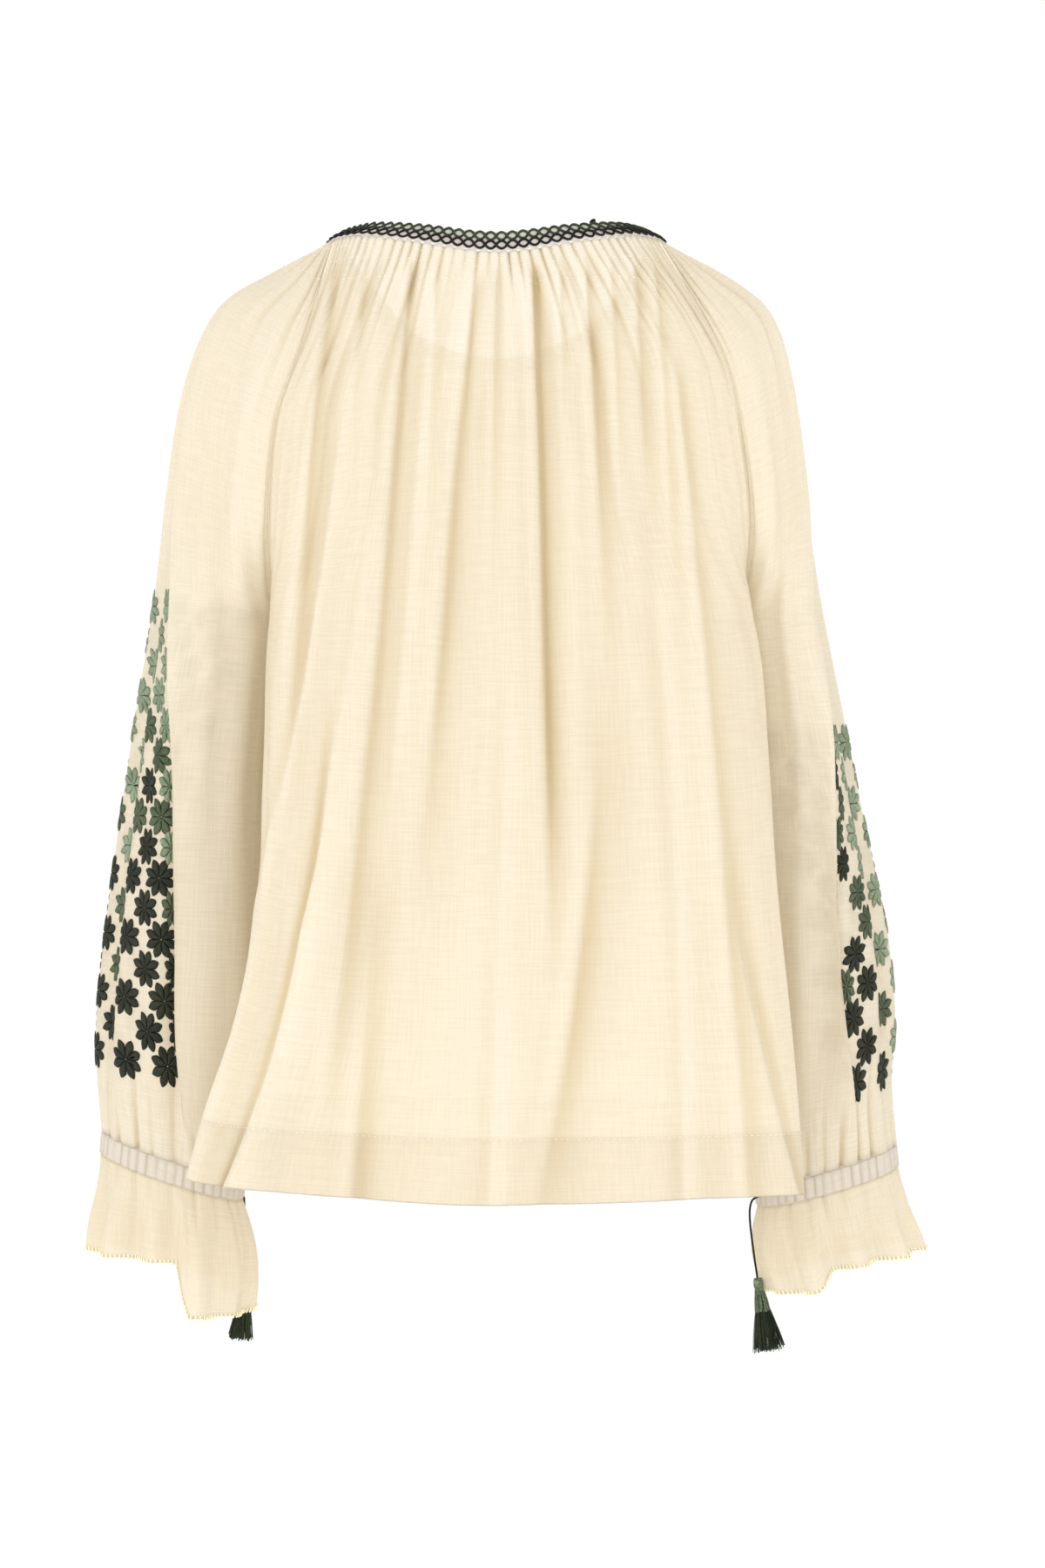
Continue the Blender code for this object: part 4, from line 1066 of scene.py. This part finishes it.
# Eight-petalled stars in satin stitch, in staggered columns down each sleeve: place across the sleeve of the
# columns that show from behind, which bunch together where the cloth turns in behind the hanging fold
STAR_COLUMNS = {
    1: table("at c0 c1 c2 c3 c4 c5",
             (0.26, -0.35, -0.23, -0.11, 0.004, 0.12, 0.24),
             (0.35, -0.10, 0.01, 0.125, 0.235, 0.325, 0.44),
             (0.40, 0.01, 0.13, 0.245, 0.345, 0.405, 0.52),
             (0.45, 0.13, 0.250, 0.338, 0.415, 0.452, 0.57),
             (0.50, 0.16, 0.268, 0.362, 0.433, 0.480, 0.60),
             (0.55, 0.20, 0.296, 0.394, 0.465, 0.510, 0.63),
             (0.60, 0.188, 0.316, 0.423, 0.492, 0.540, 0.66),
             (0.64, 0.190, 0.330, 0.435, 0.507, 0.558, 0.67)),
    -1: table("at c0 c1 c2 c3 c4 c5",
              (0.26, -0.40, -0.28, -0.17, -0.05, 0.06, 0.17),
              (0.35, -0.26, -0.15, -0.03, 0.08, 0.17, 0.23),
              (0.40, -0.17, -0.06, 0.05, 0.15, 0.230, 0.275),
              (0.45, -0.11, 0.00, 0.12, 0.22, 0.335, 0.385),
              (0.50, -0.04, 0.08, 0.235, 0.300, 0.402, 0.435),
              (0.55, 0.02, 0.14, 0.295, 0.375, 0.430, 0.460),
              (0.60, 0.04, 0.163, 0.325, 0.405, 0.440, 0.520),
              (0.64, 0.05, 0.175, 0.323, 0.375, 0.500, 0.600)),
}
# Down the sleeve: one star's place, the pitch and the first and last place; then the column in the middle of
# the dark stars, and how it leans
STARS = {
    1: {"phase": 0.477, "pitch": 0.0425, "low": 0.300, "high": 0.628, "axis": 2.2, "lean": 0.0},
    -1: {"phase": 0.4865, "pitch": 0.0435, "low": 0.380, "high": 0.645, "axis": 4.36, "lean": -13.0},
}
# The columns, the most stars in one, the step between those out of sight, and in metres their usual pitch and
# the least gap that holds a star
FIRST_COLUMN = -4
LAST_COLUMN = 5
STARS_MOST = 12
STAR_STEP = 0.116
STAR_PITCH = 0.0215
LEAST_GAP = 0.005
# Columns of mid green on each side of the dark ones
MID_COLUMNS = 0.75
PETAL_LENGTH = 0.0134
PETAL_WIDE = 0.0035
PETAL_SHOULDER = 0.62
# Metres of cloth down the sleeve for each unit of its place
SLEEVE_RUN = 1.012


def petal():
    """One leaf of satin stitch: raised, with a shallow rib down its middle, closed underneath."""
    bm = bmesh.new()
    bmesh.ops.create_grid(bm, x_segments=4, y_segments=6, size=0.5)
    bmesh.ops.holes_fill(bm, edges=[edge for edge in bm.edges if edge.is_boundary], sides=0)
    for vert in bm.verts:
        across, along = vert.co.x * 2, vert.co.y + 0.5
        taper = max(along - PETAL_SHOULDER, 0) / (1 - PETAL_SHOULDER)
        wide = PETAL_WIDE * min(along / PETAL_SHOULDER, 1) * (1 - 0.62 * taper ** 1.2)
        crown = math.sqrt(max(1 - across ** 2, 0)) * math.sin(math.pi * min(0.08 + 0.88 * along, 1)) ** 0.5
        rib = 0.22 * (abs(across) < 0.1)
        tip = 1 - 0.07 * across ** 2 * (along > 0.9)
        vert.co = (across * (wide + 0.0002), 0.0004 + PETAL_LENGTH * along * tip,
                   0.0011 * (crown - rib * crown))
    return bm


def star_mesh():
    """Whole star: eight petals about a centre."""
    bm = petal()
    first = bm.verts[:] + bm.edges[:] + bm.faces[:]
    bmesh.ops.rotate(bm, cent=(0, 0, 0), matrix=Matrix.Rotation(math.pi / 8, 3, "Z"), verts=bm.verts[:])
    bmesh.ops.spin(bm, geom=first, cent=(0, 0, 0), axis=(0, 0, 1), angle=math.pi * 7 / 4, steps=7,
                   use_duplicate=True)
    mesh = bpy.data.meshes.new("star")
    bm.to_mesh(mesh)
    bm.free()
    return mesh


def star_column(side, column, at):
    """Place across the sleeve, t, of a column of stars."""
    if column < 0:
        return track(STAR_COLUMNS[side], "c0", at) + column * STAR_STEP
    return track(STAR_COLUMNS[side], "c" + str(column), at)


def star_shade(side, column, at):
    """0 dark, 1 mid, 2 sage: a wedge of dark that widens as it goes down, with the others round it."""
    pattern = STARS[side]
    off = abs(abs(column) - pattern["axis"] - pattern["lean"] * (at - 0.462))
    limit = 0.25 + (at - 0.425) / 0.075 if side > 0 else 0.45 + (at - 0.44) * 4.2
    if off < limit:
        return 0
    return 1 if off < limit + MID_COLUMNS else 2


def star_place(side, column, at):
    """A star's place across, metres for each unit of that, how bunched it is and the gap beside it."""
    beside = column - 1, column, min(column + 1, LAST_COLUMN)
    places = [float(star_column(side, k, at)) for k in beside]
    here = places[1]
    ends = sleeve_base(side, np.array([here - 0.02, here + 0.02]), np.array([at, at]))
    metres = float(np.linalg.norm(ends[1] - ends[0])) / 0.04
    gap = min(here - places[0], places[2] - here if column < LAST_COLUMN else 1) * metres
    least = 0.8 if column < LAST_COLUMN - 1 else 0.5
    return here, metres, min(max(1.3 * gap / STAR_PITCH, least), 1.0), gap


one_star = star_mesh()
for hand, side in SIDES.items():
    pattern = STARS[side]
    bm = bmesh.new()
    across, down = [], []
    for column in range(FIRST_COLUMN, LAST_COLUMN + 1):
        shift = 0.5 if column % 2 else 0.0
        first = math.ceil((pattern["low"] - pattern["phase"]) / pattern["pitch"] - shift)
        for k in range(first, first + STARS_MOST):
            at = pattern["phase"] + (k + shift) * pattern["pitch"]
            if at > pattern["high"]:
                break
            here, metres, bunched, gap = star_place(side, column, at)
            edge = float(track(SLEEVE_INSIDE, "edge_" + hand, max(at, SLEEVE_UNDERARM)))
            if here > edge - 0.003 or gap < LEAST_GAP:
                continue
            start_vert, start_face = len(bm.verts), len(bm.faces)
            bm.from_mesh(one_star)
            bm.verts.ensure_lookup_table()
            bm.faces.ensure_lookup_table()
            for face in bm.faces[start_face:]:
                face.material_index = star_shade(side, column, at)
                face.smooth = True
            local = np.array([vert.co for vert in bm.verts[start_vert:]])
            low = at + local[:, 1] / SLEEVE_RUN
            spot = star_column(side, column, low) + local[:, 0] * bunched / metres
            folded_in = track(SLEEVE_INSIDE, "edge_" + hand, np.maximum(low, SLEEVE_UNDERARM)) - 0.004
            across.append(np.minimum(spot, folded_in - 0.002 * (spot < folded_in)))
            down.append(low)
    mesh = bpy.data.meshes.new("stars_" + hand)
    bm.to_mesh(mesh)
    bm.free()
    flat = np.empty(len(mesh.vertices) * 3)
    mesh.vertices.foreach_get("co", flat)
    point, out = on_sleeve(side, np.concatenate(across), np.concatenate(down))
    mesh.vertices.foreach_set("co", (point + out * (flat.reshape(-1, 3)[:, 2:] + 0.00012)).ravel())
    mesh.update()
    piece_of("stars_" + hand, mesh, [STAR_DARK, STAR_MID, STAR_LIGHT])
bpy.data.meshes.remove(one_star)

# Plain pale floor and soft studio light
ground = bmesh.new()
bmesh.ops.create_grid(ground, x_segments=1, y_segments=1, size=6)
bmesh.ops.translate(ground, verts=ground.verts[:], vec=(0, 0, -1.25))
floor_mesh = bpy.data.meshes.new("floor")
ground.to_mesh(floor_mesh)
ground.free()
floor = bpy.data.objects.new("floor", floor_mesh)
bpy.context.scene.collection.objects.link(floor)
paper, tree = bare("white_paper")
grain = node(tree, "TexNoise", {"Vector": node(tree, "TexCoord").outputs["Object"], "Scale": 3.0})
tint = node(tree, "Mix", {0: grain.outputs[0], 6: linear("#FBFBFA"), 7: linear("#FEFEFD")}, data_type="RGBA")
matt = node(tree, "BsdfPrincipled", {"Base Color": tint.outputs[2], "Roughness": 0.95,
                                     "Specular IOR Level": 0.1})
node(tree, "OutputMaterial", {0: matt.outputs[0]})
floor_mesh.materials.append(paper)

sky = bpy.data.worlds.new("studio")
sky.use_nodes = True
sky.node_tree.nodes["Background"].inputs["Color"].default_value = (1, 1, 1, 1)
sky.node_tree.nodes["Background"].inputs["Strength"].default_value = 1.05
bpy.context.scene.world = sky
bpy.context.scene.view_settings.view_transform = "Standard"


def lamp(name, place, aim, size, watts):
    """Large soft panel of light."""
    light = bpy.data.lights.new(name, "AREA")
    light.shape = "DISK"
    light.size = size
    light.energy = watts
    panel = bpy.data.objects.new(name, light)
    panel.location = place
    panel.rotation_euler = (Vector(aim) - Vector(place)).to_track_quat("-Z", "Y").to_euler()
    bpy.context.scene.collection.objects.link(panel)


lamp("key_light", (2.2, 1.7, -0.30), (0, 0, -0.50), 0.9, 13)
lamp("fill_light", (-2.3, 1.6, -0.45), (0, 0, -0.50), 1.2, 12)
lamp("front_light", (0.3, 2.9, -0.60), (0, 0, -0.60), 1.5, 14)
